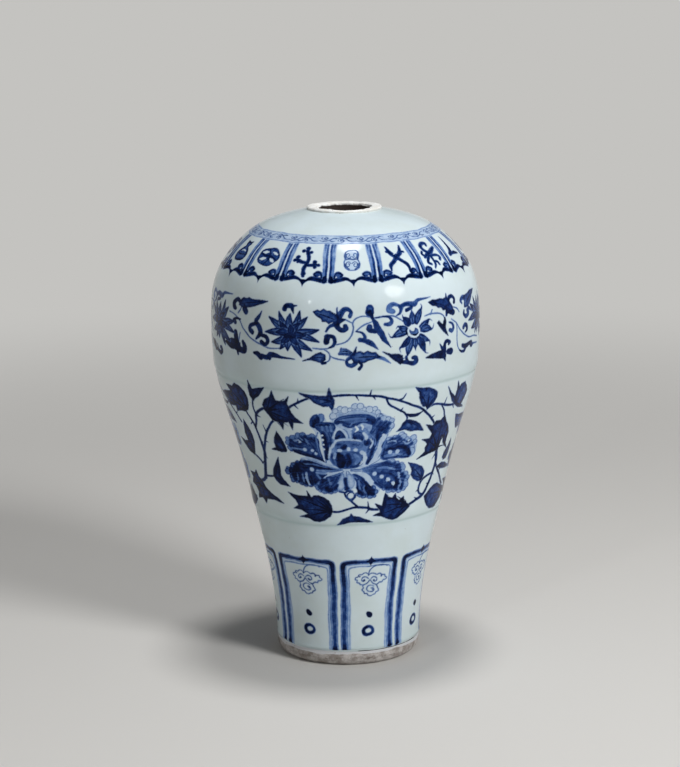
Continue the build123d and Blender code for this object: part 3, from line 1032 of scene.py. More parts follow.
@dataclass(frozen=True)
class Peony:
    """One great peony: a pale ground with a frilled edge, washed petals, dark and pale strokes, and beads."""

    root: Point = (0.6, 31.0)
    bud: Point = (2.3, 4.6)
    ground: Run = (
        -6.4, 76, -6.6, 82, -5.2, 87, 0, 88, 4, 89.4, 8, 89.4, 11.6, 87, 15, 83.4, 19, 79, 21.4, 73, 21, 66,
        19.8, 60, 23, 60.4, 27, 60, 31, 56.6, 34.8, 53, 36.4, 48, 36.2, 42, 34.6, 37.6, 28, 37, 21, 37.2,
        25.6, 34.6, 29.6, 31, 31.4, 26, 32.2, 21.6, 34.8, 17, 35, 12, 32.6, 7.4, 28.4, 6, 23, 8.4, 18.4, 10,
        16.8, 6, 13.6, 3.6, 9, 3.6, 6.4, 7.4, 4.6, 11.6, 1.6, 10.2, -3, 9.4, -6.4, 8, -10, 6.6, -14.4, 9,
        -16.6, 13.4, -21.6, 13.4, -27.6, 15, -31.4, 20, -32.8, 26, -30.4, 30, -26.8, 33.6, -22.6, 37.4,
        -19, 40.6, -25.6, 45, -29, 49, -29.4, 54, -27.4, 59.6, -22.6, 62.6, -17.8, 62, -14.6, 60.4,
        -14.6, 66, -16.8, 71, -16.6, 77, -14.4, 82, -10.8, 83, -9.6, 79.6, -8.6, 75.4,
    )
    # edge, size of its lobes, and tones of the lobes and of the touches that run in from them
    frills: tuple = (
        ((-6, 79, -5.2, 84.4, -1.6, 87, 4, 88.4, 8, 88.4, 12, 85.6, 15.4, 81.4), 4.8, 0.03, 0),
        ((15.4, 80.4, 18.6, 77, 20.6, 72, 20.4, 67.4), 5, 0.1, 0.58),
        ((-27.6, 46.6, -29.2, 51, -28.2, 56, -25, 59.6, -20.6, 61.2, -16.4, 60.4), 4.8, 0.32, 0.74),
        ((19.6, 53, 22, 56.8, 26, 58.8, 30, 56, 33.4, 52.8, 34.8, 48, 34.6, 42.4), 5.6, 0.14, 0.62),
        ((-22, 36, -27.4, 32.4, -31, 28.4, -32.2, 23.6, -30.4, 18.6, -26.6, 15.2, -21, 14.4, -16.6, 15.4),
         4.2, 0.46, 0.9),
        ((22, 34.6, 27.4, 31.6, 30.6, 27, 31.4, 21.8, 33.8, 16.8, 33.8, 11.4, 30.4, 7.4, 25.4, 8,
         20.4, 10.2), 5.2, 0.2, 0.68),
        ((-13.4, 16.8, -15.8, 13, -13.4, 9.8, -9.8, 8.4, -6.6, 10.4), 4.4, 0.3, 0.74),
        ((12.8, 12.6, 15, 8.4, 14.4, 4.4, 10.4, 3.4, 7.2, 6), 4.4, 0.3, 0.86),
    )
    reaches: Sequence[float] = (0.2, 0.3, 0.16, 0.26)
    # outline, and tones at its edge and inside it
    petals: tuple = (
        # the fan behind, the dark lens and the bud on the left
        ((-5.6, 74, -5.4, 80, -3.6, 84.4, 1, 85.4, 6, 85.8, 10.6, 84, 14, 80, 17.6, 76, 19.8, 71,
         18.6, 65.6, 14, 61, 4, 69, -2, 70), 0.1, 0.16),
        ((-5, 74.6, -3.6, 78.6, 0, 81, 3, 81.8, 7, 81.8, 10, 81, 12.4, 79, 13.1, 76.2, 12.4, 73.4, 10.8, 73,
         9, 74.4, 7.2, 75, 5.6, 73.6, 4.4, 71.8, 2.4, 70.6, 0, 70.6, -1.4, 71.8, -1.4, 73.8, -2.8, 74.2,
         -4, 73.2), 0.6, 0.5),
        ((-16.8, 72, -16.6, 76, -15.4, 80.4, -13.8, 82.2, -12.4, 80.6, -12, 77, -13, 72.4, -14.6, 69.8),
         0.62, 0.52),
        ((-12.4, 77.4, -12.2, 81.2, -10.9, 82.8, -9.7, 81, -10, 77.6, -11, 75.6), 0.34, 0.22),
        ((-15.2, 72.4, -13, 75, -9.6, 74.4, -6, 73.6, -5.2, 69.6, -6.2, 65, -8.2, 58, -8.8, 50, -9.4, 40,
         -10.6, 46, -11.2, 56, -12, 64.6, -13.6, 68), 0.62, 0.5),
        ((12.6, 72.6, 15.6, 74, 18.6, 72.4, 19.8, 68.4, 18.6, 64.8, 16.2, 62.8, 15.2, 56, 13.2, 48, 11, 40,
         10.2, 49, 11.6, 58, 11, 64, 12, 68), 0.55, 0.42),
        # the two petals on each side
        ((-28.8, 49, -29, 53.6, -27.4, 58.2, -24.4, 60.4, -21, 60.8, -17, 60, -14.6, 57.6, -14, 53,
         -13.2, 47, -11.8, 40, -15, 40.6, -20, 42.6, -26, 45.4), 0.6, 0.55),
        ((17.4, 39, 17.8, 46, 19, 51.4, 21, 55.4, 24, 57, 27, 56, 29.6, 54.6, 32.2, 53.8, 34, 50.6,
         34.4, 45.6, 33.8, 40, 31, 37, 26, 37.8, 21, 37.6), 0.44, 0.5),
        ((-32.2, 26.4, -30, 29.6, -27, 32, -24, 35, -20, 36, -16, 35, -12, 33, -8, 31, -3, 29.4, -8, 27.6,
         -11, 24.4, -13, 21, -15, 17.4, -17.4, 15.4, -20, 14.4, -22.6, 15.4, -25, 14.8, -28, 15.8,
         -30.4, 19, -31.6, 22.6), 0.74, 0.68),
        ((8, 30, 14, 33.2, 18, 34.6, 22, 34, 26, 32, 29, 29, 30.2, 25.6, 29.8, 21.6, 32, 18.6, 33.6, 14.4,
         33, 10.4, 30.8, 7.4, 27.4, 6.8, 25, 8.6, 22, 9.6, 19, 11, 16, 15, 14, 19, 12.4, 22.6, 10, 26.4),
         0.48, 0.54),
        # the lower petals and the pale ones between them
        ((-3.4, 26, -7, 24, -10.4, 22, -11.4, 18, -14.4, 16, -15.6, 12.8, -13.2, 10.2, -10.6, 8.6, -8.8, 10,
         -6.4, 11, -5.4, 14, -4.4, 17, -3, 22), 0.62, 0.5),
        ((3.4, 25, 6.4, 23, 8.6, 20, 9.8, 16, 12, 13.6, 14, 10, 15, 6.6, 13.8, 4.4, 11, 3.8, 8.6, 4.6,
         7, 7.6, 5.8, 10.6, 5.3, 14, 5, 18, 3.6, 22), 0.66, 0.55),
        ((-2, 26, -3.4, 21, -5, 16, -4.8, 12, -3, 10.6, -1.6, 13, -0.9, 19), 0.16, 0.02),
        ((0.8, 25.6, 0.4, 19, 0.7, 13.8, 2, 11.8, 3.4, 13, 3.8, 17, 2.9, 22), 0.16, 0.02),
        # the inner petals round the cup
        ((-8.6, 40, -8.2, 47, -6.6, 53, -6.4, 60, -5.6, 66, -3.6, 69, -1.2, 68, 1.4, 66, 5, 70, 9, 69,
         11, 63, 11, 54, 10, 46, 9.2, 40, 6, 33, -4, 32), 0.26, 0.3),
        ((-5.4, 59, -5.2, 63, -3.8, 66.4, -2.2, 65.4, -1, 62, -0.6, 58.6, -3, 58), 0.66, 0.6),
        ((2.4, 58.6, 3, 62.6, 5, 65.8, 7, 65.4, 7.8, 61.6, 7.4, 58, 5, 56.8), 0.54, 0.6),
        ((8.4, 55.6, 9, 58.4, 10.6, 58.6, 11.6, 56, 10.6, 52.8, 9, 53), 0.6, 0.66),
        ((-5.4, 52.6, -4.6, 56, 0, 57, 5, 56.6, 7.4, 54.2, 7.2, 51, 4, 49.8, -1, 50, -4.2, 50.2), 0.42,
         0.46),
        ((-6.6, 38, -6.2, 43, -4.4, 46.2, 0, 47, 4.6, 46.2, 7.4, 43, 7.8, 38, 6, 33.6, 2, 31.4, -2, 31.2,
         -5, 33.4), 0.5, 0.48),
    )
    # path, widths and tone
    darks: tuple = (
        ((-4.4, 75, -2, 75.6, 1.2, 73, 4.4, 73.6), (1, 2, 2, 0.8), 0.74),
        ((9.4, 77.4, 11.8, 76.6, 12, 74.2), (1.4, 3.2, 2.2), 0.82),
        ((-2.6, 77.8, 2, 79.8, 8, 79.4), (0.6, 1, 0.6), 0.68),
        ((-12.8, 79, -13.2, 76.6, -14.6, 74, -15.2, 71), (1.2, 3, 2.8, 1.2), 0.92),
        ((-13.6, 72, -10.6, 72.4, -7.4, 72), (1.2, 2, 1), 0.74),
        ((-11, 64.6, -10.2, 56, -9.7, 48, -9.8, 40), (2, 2.6, 2.4, 1), 0.84),
        ((-8.4, 64, -7.6, 56, -7.8, 49), (1, 1.4, 0.8), 0.66),
        ((15, 67, 14.4, 58, 13, 50, 12, 41, 10.2, 35), (2.4, 1.8, 1.8, 1.8, 0.8), 0.8),
        ((12.6, 61, 11.6, 53, 10.4, 46), (0.9, 1.2, 0.8), 0.62),
        ((13.4, 71, 16, 69.2, 18.8, 69), (1, 2, 1), 0.72),
        ((14.8, 65.6, 17, 67.4, 18.6, 71), (1.6, 1.4, 0.8), 0.74),
        ((-26, 44.6, -20, 42, -14.4, 40, -11, 37), (1, 2.2, 2, 1), 0.88),
        ((-24.6, 56.6, -21.6, 51.4, -19, 49.4), (0.9, 1.4, 0.7), 0.72),
        ((-28, 50, -24.4, 49.4, -21.6, 49), (0.8, 1.4, 0.7), 0.76),
        ((-18, 56, -16.2, 50, -14.6, 45), (0.8, 1.4, 0.9), 0.72),
        ((18.4, 45.6, 21.4, 47.4, 23.6, 46.6, 26.6, 48.4, 30.2, 46.8, 33, 40.8),
         (0.8, 1.4, 1.2, 2, 3.2, 2.4), 0.86),
        ((18, 40.4, 18.8, 47), (1.2, 1.6), 0.68), ((19, 38.6, 25, 39, 32.4, 38), (0.7, 1, 1.3), 0.66),
        ((20, 52, 24.6, 53, 30, 51.4), (0.6, 1, 0.6), 0.6),
        ((16.4, 23.8, 19.6, 24.4, 23.4, 23.4, 26, 19.8, 27.6, 15), (1, 1.4, 1.6, 2.2, 1.8), 0.74),
        ((20.6, 19, 22.6, 15.4, 25, 12), (1.1, 1.3, 1), 0.78), ((27.4, 14.6, 26.6, 10.6), (3.2, 2.6), 0.9),
        ((31.2, 12, 31, 8.8), (1.5, 1.6), 0.82), ((15, 31, 20, 31.6, 25, 29.4), (0.6, 1.1, 0.7), 0.64),
        ((16, 18, 18, 14.4, 21, 11.4), (0.7, 1, 0.7), 0.66), ((-29.4, 27, -25, 27), (2, 3.8), 0.96),
        ((-29.2, 22.6, -28.6, 17.4), (2.2, 1.6), 0.94), ((-25.6, 22, -25.2, 16.6), (1.6, 1.2), 0.86),
        ((-19, 21, -18.4, 16.6), (1.6, 1.2), 0.84), ((-20, 32, -13, 31, -6, 29.6), (1, 1.8, 0.8), 0.86),
        ((-10.6, 12, -9.6, 9.8), (2.8, 2), 0.9), ((-14.4, 13.4, -11, 16, -7, 20), (0.9, 1.4, 0.8), 0.7),
        ((-8, 13, -6, 18, -4.6, 23), (1.2, 1.6, 0.8), 0.68),
        ((10.2, 11.6, 12.6, 8.4, 13.8, 5.8), (2.8, 2, 2.6), 0.94),
        ((6.6, 16, 8.4, 10, 10.4, 5.4), (0.9, 1.3, 0.8), 0.7),
        ((4.6, 23, 6.4, 19, 8.6, 15), (0.8, 1.4, 0.9), 0.76),
        ((-0.6, 21, -0.4, 15, 0.1, 10.8), (0.7, 1, 2.4), 0.8),
        ((-4, 8.8, -1, 7.8, 0.4, 9.2, 3, 8.6), (0.8, 1.1, 1.4, 0.8), 0.6),
        ((-0.8, 52.2, -1.8, 50.8), (1.8, 2.2), 0.88), ((-4.4, 53.6, -2.6, 54), (1.2, 0.9), 0.68),
        ((3, 53.8, 5.6, 53), (1, 1.2), 0.6), ((-3.6, 62.6, -4.4, 60), (1.4, 2), 0.84),
        ((3.4, 61.6, 4.2, 59.4), (1.6, 2), 0.84), ((9.8, 56.8, 9.8, 54.4), (1.4, 1.8), 0.84),
        ((-4, 43.6, -2.6, 38.6, -3, 34.2), (3.6, 7.4, 4.6), 0.96),
        ((0.2, 44, 0.8, 38.6, 0.4, 33.6), (2, 3.8, 2.8), 0.84),
        ((-7.2, 43.6, -7.2, 39, -6.2, 35), (1.2, 1.6, 1), 0.6),
        ((1.6, 32.6, 4.6, 33.6, 6.6, 36), (1, 1.4, 0.8), 0.68),
    )
    pales: tuple = (
        ((-2.6, 76.6, 2, 78.2, 8.4, 78), (0.5, 1.1, 0.6), 0.34),
        ((1.6, 72, 4.6, 76, 9.2, 76), (0.5, 1, 0.5), 0.36), ((-9, 71.6, -8.6, 66.6), (0.7, 0.8), 0.3),
        ((-7.2, 71.6, -6.9, 66.6), (0.7, 0.8), 0.3), ((-11, 71, -11, 67.6), (0.6, 0.6), 0.32),
        ((-25.4, 55.4, -23.4, 56.6, -22.2, 54.6), (0.9, 1.3, 0.9), 0.24),
        ((-27, 48.2, -24, 47.2, -22, 47.2), (0.8, 1.1, 0.7), 0.26),
        ((-19.6, 58, -18.6, 53), (0.6, 0.8), 0.36), ((-22.4, 59.6, -21.4, 57), (0.8, 0.8), 0.3),
        ((20.4, 54, 23, 55, 24.6, 53.4), (0.7, 1.2, 0.7), 0.18),
        ((28, 53.4, 30, 50.8, 32.4, 51.6), (0.6, 1.1, 0.6), 0.2),
        ((19.4, 40.6, 24, 41, 29, 40.4), (1.4, 2.2, 1), 0.26), ((-23.6, 23, -23.4, 16.4), (0.6, 1), 0.32),
        ((-26.8, 23.4, -26.6, 17.4), (0.5, 0.8), 0.44),
        ((-15, 28, -11, 28.2, -7, 29), (0.8, 1.2, 0.6), 0.24),
        ((-15.6, 25.6, -12.6, 25.6, -10, 26.2), (0.8, 1.2, 0.6), 0.24),
        ((-14, 20.6, -15.4, 23.6), (1, 0.8), 0.3),
        ((-22, 33.6, -16, 33.4, -10, 31.4), (0.5, 0.8, 0.5), 0.4),
        ((16, 29.6, 21, 29.8, 25.6, 27.4), (0.6, 1.1, 0.6), 0.28),
        ((28, 23.6, 28.6, 19.6), (1.4, 1.8), 0.2), ((29.4, 17, 30.2, 13, 29, 9), (0.7, 1.3, 0.9), 0.24),
        ((-9.4, 20.4, -8.4, 16), (0.7, 1.2), 0.36),
        ((6.2, 19.4, 6.6, 14.6, 7.2, 10.6), (0.5, 1.2, 0.6), 0.32),
        ((9.4, 13.4, 9.2, 9, 10.2, 6), (0.5, 1.2, 0.6), 0.34),
        ((3.8, 44, 5.6, 40, 4.8, 35.8), (1.6, 3.2, 1.6), 0.3),
        ((-6.2, 59.6, -5.4, 65.4, -3.6, 68.4, -1.6, 66.8, -0.2, 63, 0.4, 59.4),
         (0.8, 1.2, 1.4, 1.6, 1.4, 0.8), 0.02),
        ((-2, 70, 0.8, 68, 2, 63.6, 2.2, 59), (1.4, 2.2, 1.8, 0.9), 0.08),
        ((8.2, 64.6, 9.4, 61.4, 9.2, 59), (1.4, 2, 1), 0.04),
        ((11.4, 59, 12.4, 55, 11.4, 50.4), (0.8, 1.3, 0.9), 0.06),
        ((-5.2, 57.6, 0, 58.6, 6.8, 57.2), (0.9, 1.4, 0.9), 0.06),
        ((-8.8, 40.6, -8, 48.6, -6.2, 54, -5, 57), (0.9, 1.5, 1.5, 0.9), 0.04),
        ((8.6, 45, 9, 39.6, 6.8, 34.4), (1.2, 2.4, 1), 0), ((-5.6, 44.8, -6.4, 41), (1.2, 1.6), 0.16),
        ((17.6, 61.6, 16.8, 55, 15.8, 47, 14, 40, 11.4, 34), (2.2, 3, 2.8, 2.2, 0.8), 0.04),
        ((-23, 38, -18, 38.8, -13.6, 36.8, -9.6, 34, -5, 31), (1.8, 2.6, 2, 1.8, 0.8), 0.1),
        ((-21.2, 25, -21.4, 20, -20.8, 14.6), (0.8, 1.9, 1.4), 0.14),
        ((6, 26.2, 10, 22.4, 12, 18, 13, 14), (1.4, 2.8, 2.8, 1.6), 0),
        ((-9.6, 26, -5, 27), (2, 0.9), 0.06),
    )
    whites: tuple = (
        ((-13.4, 66, -12.8, 60, -12.6, 53, -12, 46, -10.8, 37), (1.2, 2.2, 2.2, 1.8, 0.8)),
        ((-11.7, 62, -11.5, 62.2), (2.2, 2.2)), ((-11.6, 57.4, -11.4, 57.6), (2.2, 2.2)),
        ((-11.5, 52.8, -11.3, 53), (2, 2)), ((-11.2, 48.2, -11, 48.4), (1.8, 1.8)),
        ((4.4, 71, 5.2, 68.4, 4.2, 66), (2.2, 2.8, 1)), ((7, 72.2, 7.8, 70, 7.4, 68), (2, 2.2, 1)),
    )
    lines: tuple = (
        (2, 30, 8, 30.6, 13.6, 34.6, 17.4, 39.4), (2, 29.4, 8, 29.2, 14, 30.4),
        (2, 28.4, 7, 27.6, 12, 25.4), (-2, 29.8, -8, 31.8, -14, 35.6, -20, 38.2),
        (-2, 29, -8, 28.6, -12, 27.2), (-1.4, 28, -4, 25.4, -8, 23), (0, 28, -0.4, 22),
        (0.8, 28, 2.8, 24, 5, 21), (-13.4, 65, -14.4, 58, -14.2, 50, -12.8, 42),
        (19.6, 62, 18.8, 54, 17.6, 46, 15.4, 39), (15.6, 56, 14.6, 48, 12.6, 40),
        (10.6, 64, 13.4, 59, 13.8, 53), (3.2, 70, 2.8, 65, 2.6, 60), (6.4, 70.6, 7.4, 66.6),
    )
    beads: tuple = (
        (-3.4, 48.2, 2.8), (0.8, 49.6, 2.4), (4.2, 48.6, 2.6), (7.4, 45.8, 3), (21.8, 43.8, 3),
        (25.9, 43.8, 3), (31, 53.2, 2), (14.3, 24.2, 2.8), (18.4, 21, 2.8), (22, 18, 3.2), (25.4, 14, 3.4),
        (-17.8, 28.6, 2.8), (-20.6, 47.4, 2.2), (-17, 47.2, 1.8), (-15.2, 44.4, 1.8), (-22.8, 54.6, 1.6),
    )

    def paint(self, p: Painter) -> None:
        """Paint the flower from the back to the front.

        Args:
            p: Painter at the flower's middle.
        """
        ground = p.shape(smoothed(self.ground, closed=True))
        p.canvas.cut(ground, 0.6)
        p.canvas.add(Ink.WASH, ground, 0.03)
        for outline, edge, core in self.petals:
            patch = p.wash(smoothed(outline, closed=True), edge, core, 3.2)
            p.canvas.cut(patch, 0.2, (Ink.LINE,))
            p.canvas.rim(patch, 0.5, edge + 0.1)
        for edge, size, pale, dark in self.frills:
            self.frill(p, edge, size, pale, dark)
        self.strokes(p)
        for angle, level, size in self.beads:
            p.canvas.cut(p.disc((angle, level), 0.7 * size))
            p.canvas.cut(p.disc((angle, level), size), 0, (Ink.LINE,))
            p.dot(Ink.WASH, (angle, level), size, 0.04)
        p.canvas.cut(p.disc(self.bud, 5.0))
        p.stroke(Ink.LINE, ellipse(self.bud, 4.0, 6.8, np.linspace(0, 2 * np.pi, 13)), 1.2, 0.6)

    def strokes(self, p: Painter) -> None:
        """Dark strokes on the petals, pale ones over them, white gaps and thin lines.

        Args:
            p: Painter at the flower's middle.
        """
        for run, widths, tone in self.darks:
            p.stroke(Ink.WASH, run, np.asarray(widths) + 1.0, tone - 0.14)
            p.stroke(Ink.LINE, run, widths, tone)
        for run, widths, tone in self.pales:
            p.gap(run, widths, (Ink.LINE,))
            p.stroke(Ink.WASH, run, widths, tone)
        for run, widths in self.whites:
            p.gap(run, widths)
        for run in self.lines:
            p.stroke(Ink.LINE, run, (0.9, 0.8, 0.5), 0.34)

    def frill(self, p: Painter, edge: Run, size: float, pale: float, dark: float) -> None:
        """Row of uneven lobes along a petal's edge, with dark touches that run in from it towards the root.

        Args:
            p: Painter at the flower's middle.
            edge: Edge of the petal.
            size: Size of the lobes.
            pale: Tone of the lobes.
            dark: Tone of the touches, or nought for none.
        """
        curve = smoothed(edge)
        across = np.diff(curve[:, 0]) * np.radians(p.radius(self.root[1]))
        way = np.r_[0, np.cumsum(np.hypot(across, np.diff(curve[:, 1])))]
        places = np.linspace(0, way[-1], round(way[-1] / (0.72 * size)) + 1)
        spots = np.stack([np.interp(places, way, curve[:, axis]) for axis in (0, 1)], 1)
        inward = np.asarray(self.root) - spots
        number = np.arange(len(spots))
        sizes = size * (1 + 0.3 * np.sin(2.4 * number + size))
        spots = spots + inward * (0.03 * np.sin(1.7 * number))[:, None]
        for spot, lobe_size in zip(spots, sizes):
            lobe = p.disc(spot, lobe_size)
            p.canvas.cut(lobe, 0.0, (Ink.LINE,))
            p.canvas.add(Ink.WASH, lobe, pale)
            p.canvas.rim(lobe, 0.6, pale + 0.32)
        for spot, way_in, reach in zip(spots, inward, np.resize(self.reaches, len(spots))):
            if dark:
                touch = [spot + 0.06 * way_in, spot + reach * way_in]
                p.stroke(Ink.WASH, touch, (0.6 * size, 1.2), dark - 0.1)
                p.stroke(Ink.LINE, touch, (0.34 * size, 0.6), dark + 0.04)


@dataclass(frozen=True)
class Stem:
    """Stem with a darker core and some thorns, each a base and a tip."""

    run: Run
    widths: Sequence[float]
    thorns: Run = ()
    tone: float = 0.68

    def paint(self, p: Painter) -> None:
        """Paint the stem, then its thorns.

        Args:
            p: Painter at the flower that the stem belongs to.
        """
        p.stroke(Ink.WASH, self.run, self.widths, self.tone)
        p.stroke(Ink.LINE, self.run, np.asarray(self.widths) * 0.35, 0.82)
        for thorn in np.reshape(self.thorns, (-1, 4)):
            p.stroke(Ink.LINE, thorn, (1.9, 0.6), 0.78)


@dataclass(frozen=True)
class Leaf:
    """Dark leaf with ribs from its base to some of its tips."""

    base: Point
    outline: Run
    tips: Run
    tone: float = 0.94

    def paint(self, p: Painter) -> None:
        """Paint the leaf, cut free of what lies under it, then its ribs.

        Args:
            p: Painter at the flower that the leaf belongs to.
        """
        patch = p.shape(self.outline)
        p.canvas.cut(patch, 0.5)
        p.canvas.add(Ink.WASH, patch, self.tone - 0.24 * np.clip(patch.inside / 4.5, 0, 1))
        p.canvas.rim(patch, 0.7, self.tone)
        base = np.asarray(self.base)
        for tip in pairs(self.tips):
            rib = [base, 0.5 * (base + tip) + (0, 0.6), 0.14 * base + 0.86 * tip]
            p.stroke(Ink.LINE, rib, (2.2, 1.1, 0.4), self.tone + 0.05)


@dataclass
class PeonyBand:
    """Peony scroll round the belly: three great flowers among thorny stems and toothed leaves."""

    places: Sequence[float] = (0.0, 105.0, 255.0)
    base: float = 150.0
    # stems over and under a flower, and the leaves round it
    arches: tuple = (
        Stem((-26, 86.5, -22.5, 91, -20, 93.6, -16, 96.8, -10, 99, 0, 100.2, 8, 99.6, 14, 98, 18, 95.8,
         23, 93.6, 28, 89.6, 31, 86.6, 35, 83, 39, 77, 43, 70, 46, 64), (2.2, 2, 2.2, 2, 2.2), (-21, 93,
         -20.8, 96.4, -23, 90, -21.2, 87, 10, 99.4, 10.7, 104, 4, 99.6, 5.3, 95.4, 11.4, 98.6, 12.3, 95.4,
         42.4, 71, 44.2, 73.6)),
        Stem((22.4, 93.6, 25, 95, 26.4, 99), (1.6, 1.5, 0.8)),
        Stem((17, 96, 18.5, 90.6, 22, 86.2, 26, 81.4, 28, 76.6, 28.2, 72.6), (1.7, 1.9, 1.6), (24.6, 83,
         25.3, 86.2)),
        Stem((27.4, 79.6, 30, 77.6, 33.4, 77.4, 36.4, 79.4), (1, 3.6, 3.2, 0.9), (), 0.86),
        Stem((38, -9.4, 28, -10, 15, -9.4, 11, -7.4, 5, -6.6, 0, -9, -5, -10.8, -10, -10.4),
         (2.6, 2.3, 2, 1.9), (12.2, -7.4, 11.7, -2, 13, -8.6, 11, -12.4)),
        Stem((-1.6, 8.4, 0, 3, 3, -1.2, 6, -6.2), (1.6, 1.9, 2)),
        Stem((5.2, 6.6, 4.6, 3, 3, 0), (1.2, 1.6, 1.2)),
    )
    leaves_round: tuple = (
        Leaf((-9, -10.4), (-8.4, -10.5, -9, -5, -10.6, 0, -13, 3, -16, 4.6, -18.6, 3.8, -20.2, 1.8,
         -22.8, 7.4, -22.4, 2.6, -27, 2.2, -34.4, 3.8, -30.2, -2.4, -28.6, -6.6, -32, -10.6, -26.6, -10.8,
         -23, -13.8, -28.2, -17.6, -22.8, -17.4, -20, -20, -16, -20.6, -13, -19, -10, -15.4), (-16, 3,
         -22, 5, -33, 2.6, -31, -10, -27, -17.2, -16, -19)),
        Leaf((36.5, -9.4), (16.2, -4.2, 20.4, -6.2, 20.8, -2, 21.3, 5.4, 23.6, 1.2, 25.8, -0.6, 27.8, 3.8,
         28.6, -1, 30.4, -3.8, 33, 0, 33.8, -4.6, 35.2, -7, 37.4, -8.6, 38.8, -11.4, 35, -16.4, 31, -20.4,
         28, -21.2, 23, -18.6, 20, -16.2, 15.6, -15.2, 19.8, -12.4, 18.8, -9.4), (18, -5, 21.8, 3, 28, 2,
         33, -2, 18, -14.6, 28, -19.6)),
        Leaf((28.4, 72.6), (28, 74, 30.4, 73, 33.4, 71.2, 36, 67.4, 38.8, 60.8, 34.6, 62, 31, 61.8,
         28, 64.6, 23.8, 63.8, 25.8, 67.2, 26.2, 70.4), (37, 63, 26, 65.4, 33, 64), 0.78),
        Leaf((-6, 95), (-20.2, 101.2, -15.6, 100, -11, 99.6, -8, 100, -7, 107, -6, 101, -5, 96, -5.4, 90,
         -5.6, 84.6, -7.2, 90.4, -10, 89.8, -13.4, 92.8, -15, 96, -17.6, 98.2), (-15, 97.4, -7, 104,
         -5.8, 87, -11, 92), 0.78),
        Leaf((13, -20), (-6.2, -23.6, -2.6, -17.4, 1.2, -15.4, 2.2, -13, 3.4, -15.2, 7.4, -15.8, 11, -18,
         15, -20.8, 9, -20, 3, -20.2, -1.6, -22), (-4, -22, 2, -18), 0.8),
    )
    # stems and leaves between a flower and the one on its left
    left_gap: tuple = (
        Stem((-49.6, 15, -47.8, 28, -46.2, 40, -46.4, 48, -47.4, 58, -48.4, 65, -50, 71, -52, 77),
         (4, 3.6, 2.8, 2.4, 2.2), (-46.6, 46, -45.2, 50, -47.8, 30, -50.4, 27.6, -49, 67, -51, 64.4,
         -47, 37, -45, 34)),
        Stem((-46.2, 41, -43.6, 50, -40.6, 60, -37, 69, -34, 74), (2.8, 2.4, 2.2), (-40.8, 60, -42, 66.4,
         -43.4, 51, -41.4, 50)),
        Stem((-47.8, 62, -46, 69, -44.8, 76, -41, 81.4, -37, 83.6), (2.2, 2.6, 2.6, 2.4), (-45, 75,
         -42.6, 74)),
        Stem((-45, 75, -45.7, 83, -45.2, 91), (2, 1.9, 1.8)),
        Stem((-49.4, 17, -46, 16.8, -42, 17.6), (2.2, 2, 1.8)),
        Stem((-49.4, 15.6, -51.2, 12.4, -54.6, 9.6, -60, 7), (3.2, 3, 2.6)),
        Stem((-49.8, 28, -52, 31.6, -55, 34.4), (2, 1.9, 1.6)),
        Leaf((-45, 90), (-46, 107.6, -45.2, 102, -44.4, 99.4, -41, 101.4, -37.4, 102.6, -39.4, 98,
         -41.2, 94, -43.6, 90.8, -44.8, 88, -46.6, 93, -47, 100), (-46, 104, -39, 101)),
        Leaf((-55, 35), (-56.6, 67.6, -54.2, 61, -52.6, 54, -52.4, 47, -53.8, 39.6, -55, 33.6, -60, 36.4,
         -63, 41, -66.4, 47.4, -61.8, 45.2, -58.4, 46.2, -59.4, 53, -58.2, 59.6), (-56.4, 63, -64, 45)),
        Leaf((-31.4, 45), (-34.5, 62.6, -32.6, 56, -31, 50, -30.4, 46, -31, 44.2, -34, 43.2, -40.2, 44,
         -37, 46.6, -37.6, 51, -36.6, 56), (-34.4, 59, -38, 44.8)),
        Leaf((-42, 17), (-37, 37, -37.3, 28, -37.8, 20, -36.4, 16, -32.6, 10.2, -39, 10.2, -41.6, 13.4,
         -43.2, 18, -42.2, 24, -40, 30), (-37.6, 32, -35, 11.6)),
        Leaf((-57, 5.4), (-39, -7.6, -43, -3.4, -48, -0.2, -52, 4.4, -53.6, 9.6, -57, 12.4, -58.4, 18,
         -61, 14.4, -66.4, 14.6, -64.6, 9.4, -67.5, 3.6, -63, 1.6, -61.4, -3.4, -63.5, -9.2, -58.6, -6.8,
         -55.2, -11.4, -53, -6.8, -46, -6.2), (-41, -6.4, -55, -9, -62.4, -7, -65, 4, -64, 13)),
        Leaf((-51, 79), (-50, 78.5, -48.6, 84, -48.6, 90, -50, 96, -53, 100, -56.5, 101.4, -59, 97.5,
         -65, 96.8, -61.5, 92, -68, 90.4, -75, 86, -68, 83, -66, 78, -60, 79.5, -60.5, 74.6, -56, 76,
         -52.5, 76), (-56, 99, -63, 95.6, -71, 86.6, -60, 76.4)),
        Leaf((-38, 81), (-26, 87.5, -26.6, 90.4, -25.4, 97, -27.4, 92.6, -30, 91.4, -32.2, 92, -33.2, 100.4,
         -35, 94.6, -38.2, 91.4, -39.6, 86, -39.2, 81.4, -37, 76.4, -35.4, 72.6, -32.4, 72.2, -30.6, 65.4,
         -29.6, 72.6, -27, 73.6, -25.7, 66.4, -24.9, 73.6, -20.2, 73, -23.4, 78, -25, 82.6), (-26, 96,
         -33, 99, -27, 86, -22, 74, -26, 68, -31, 67)),
    )
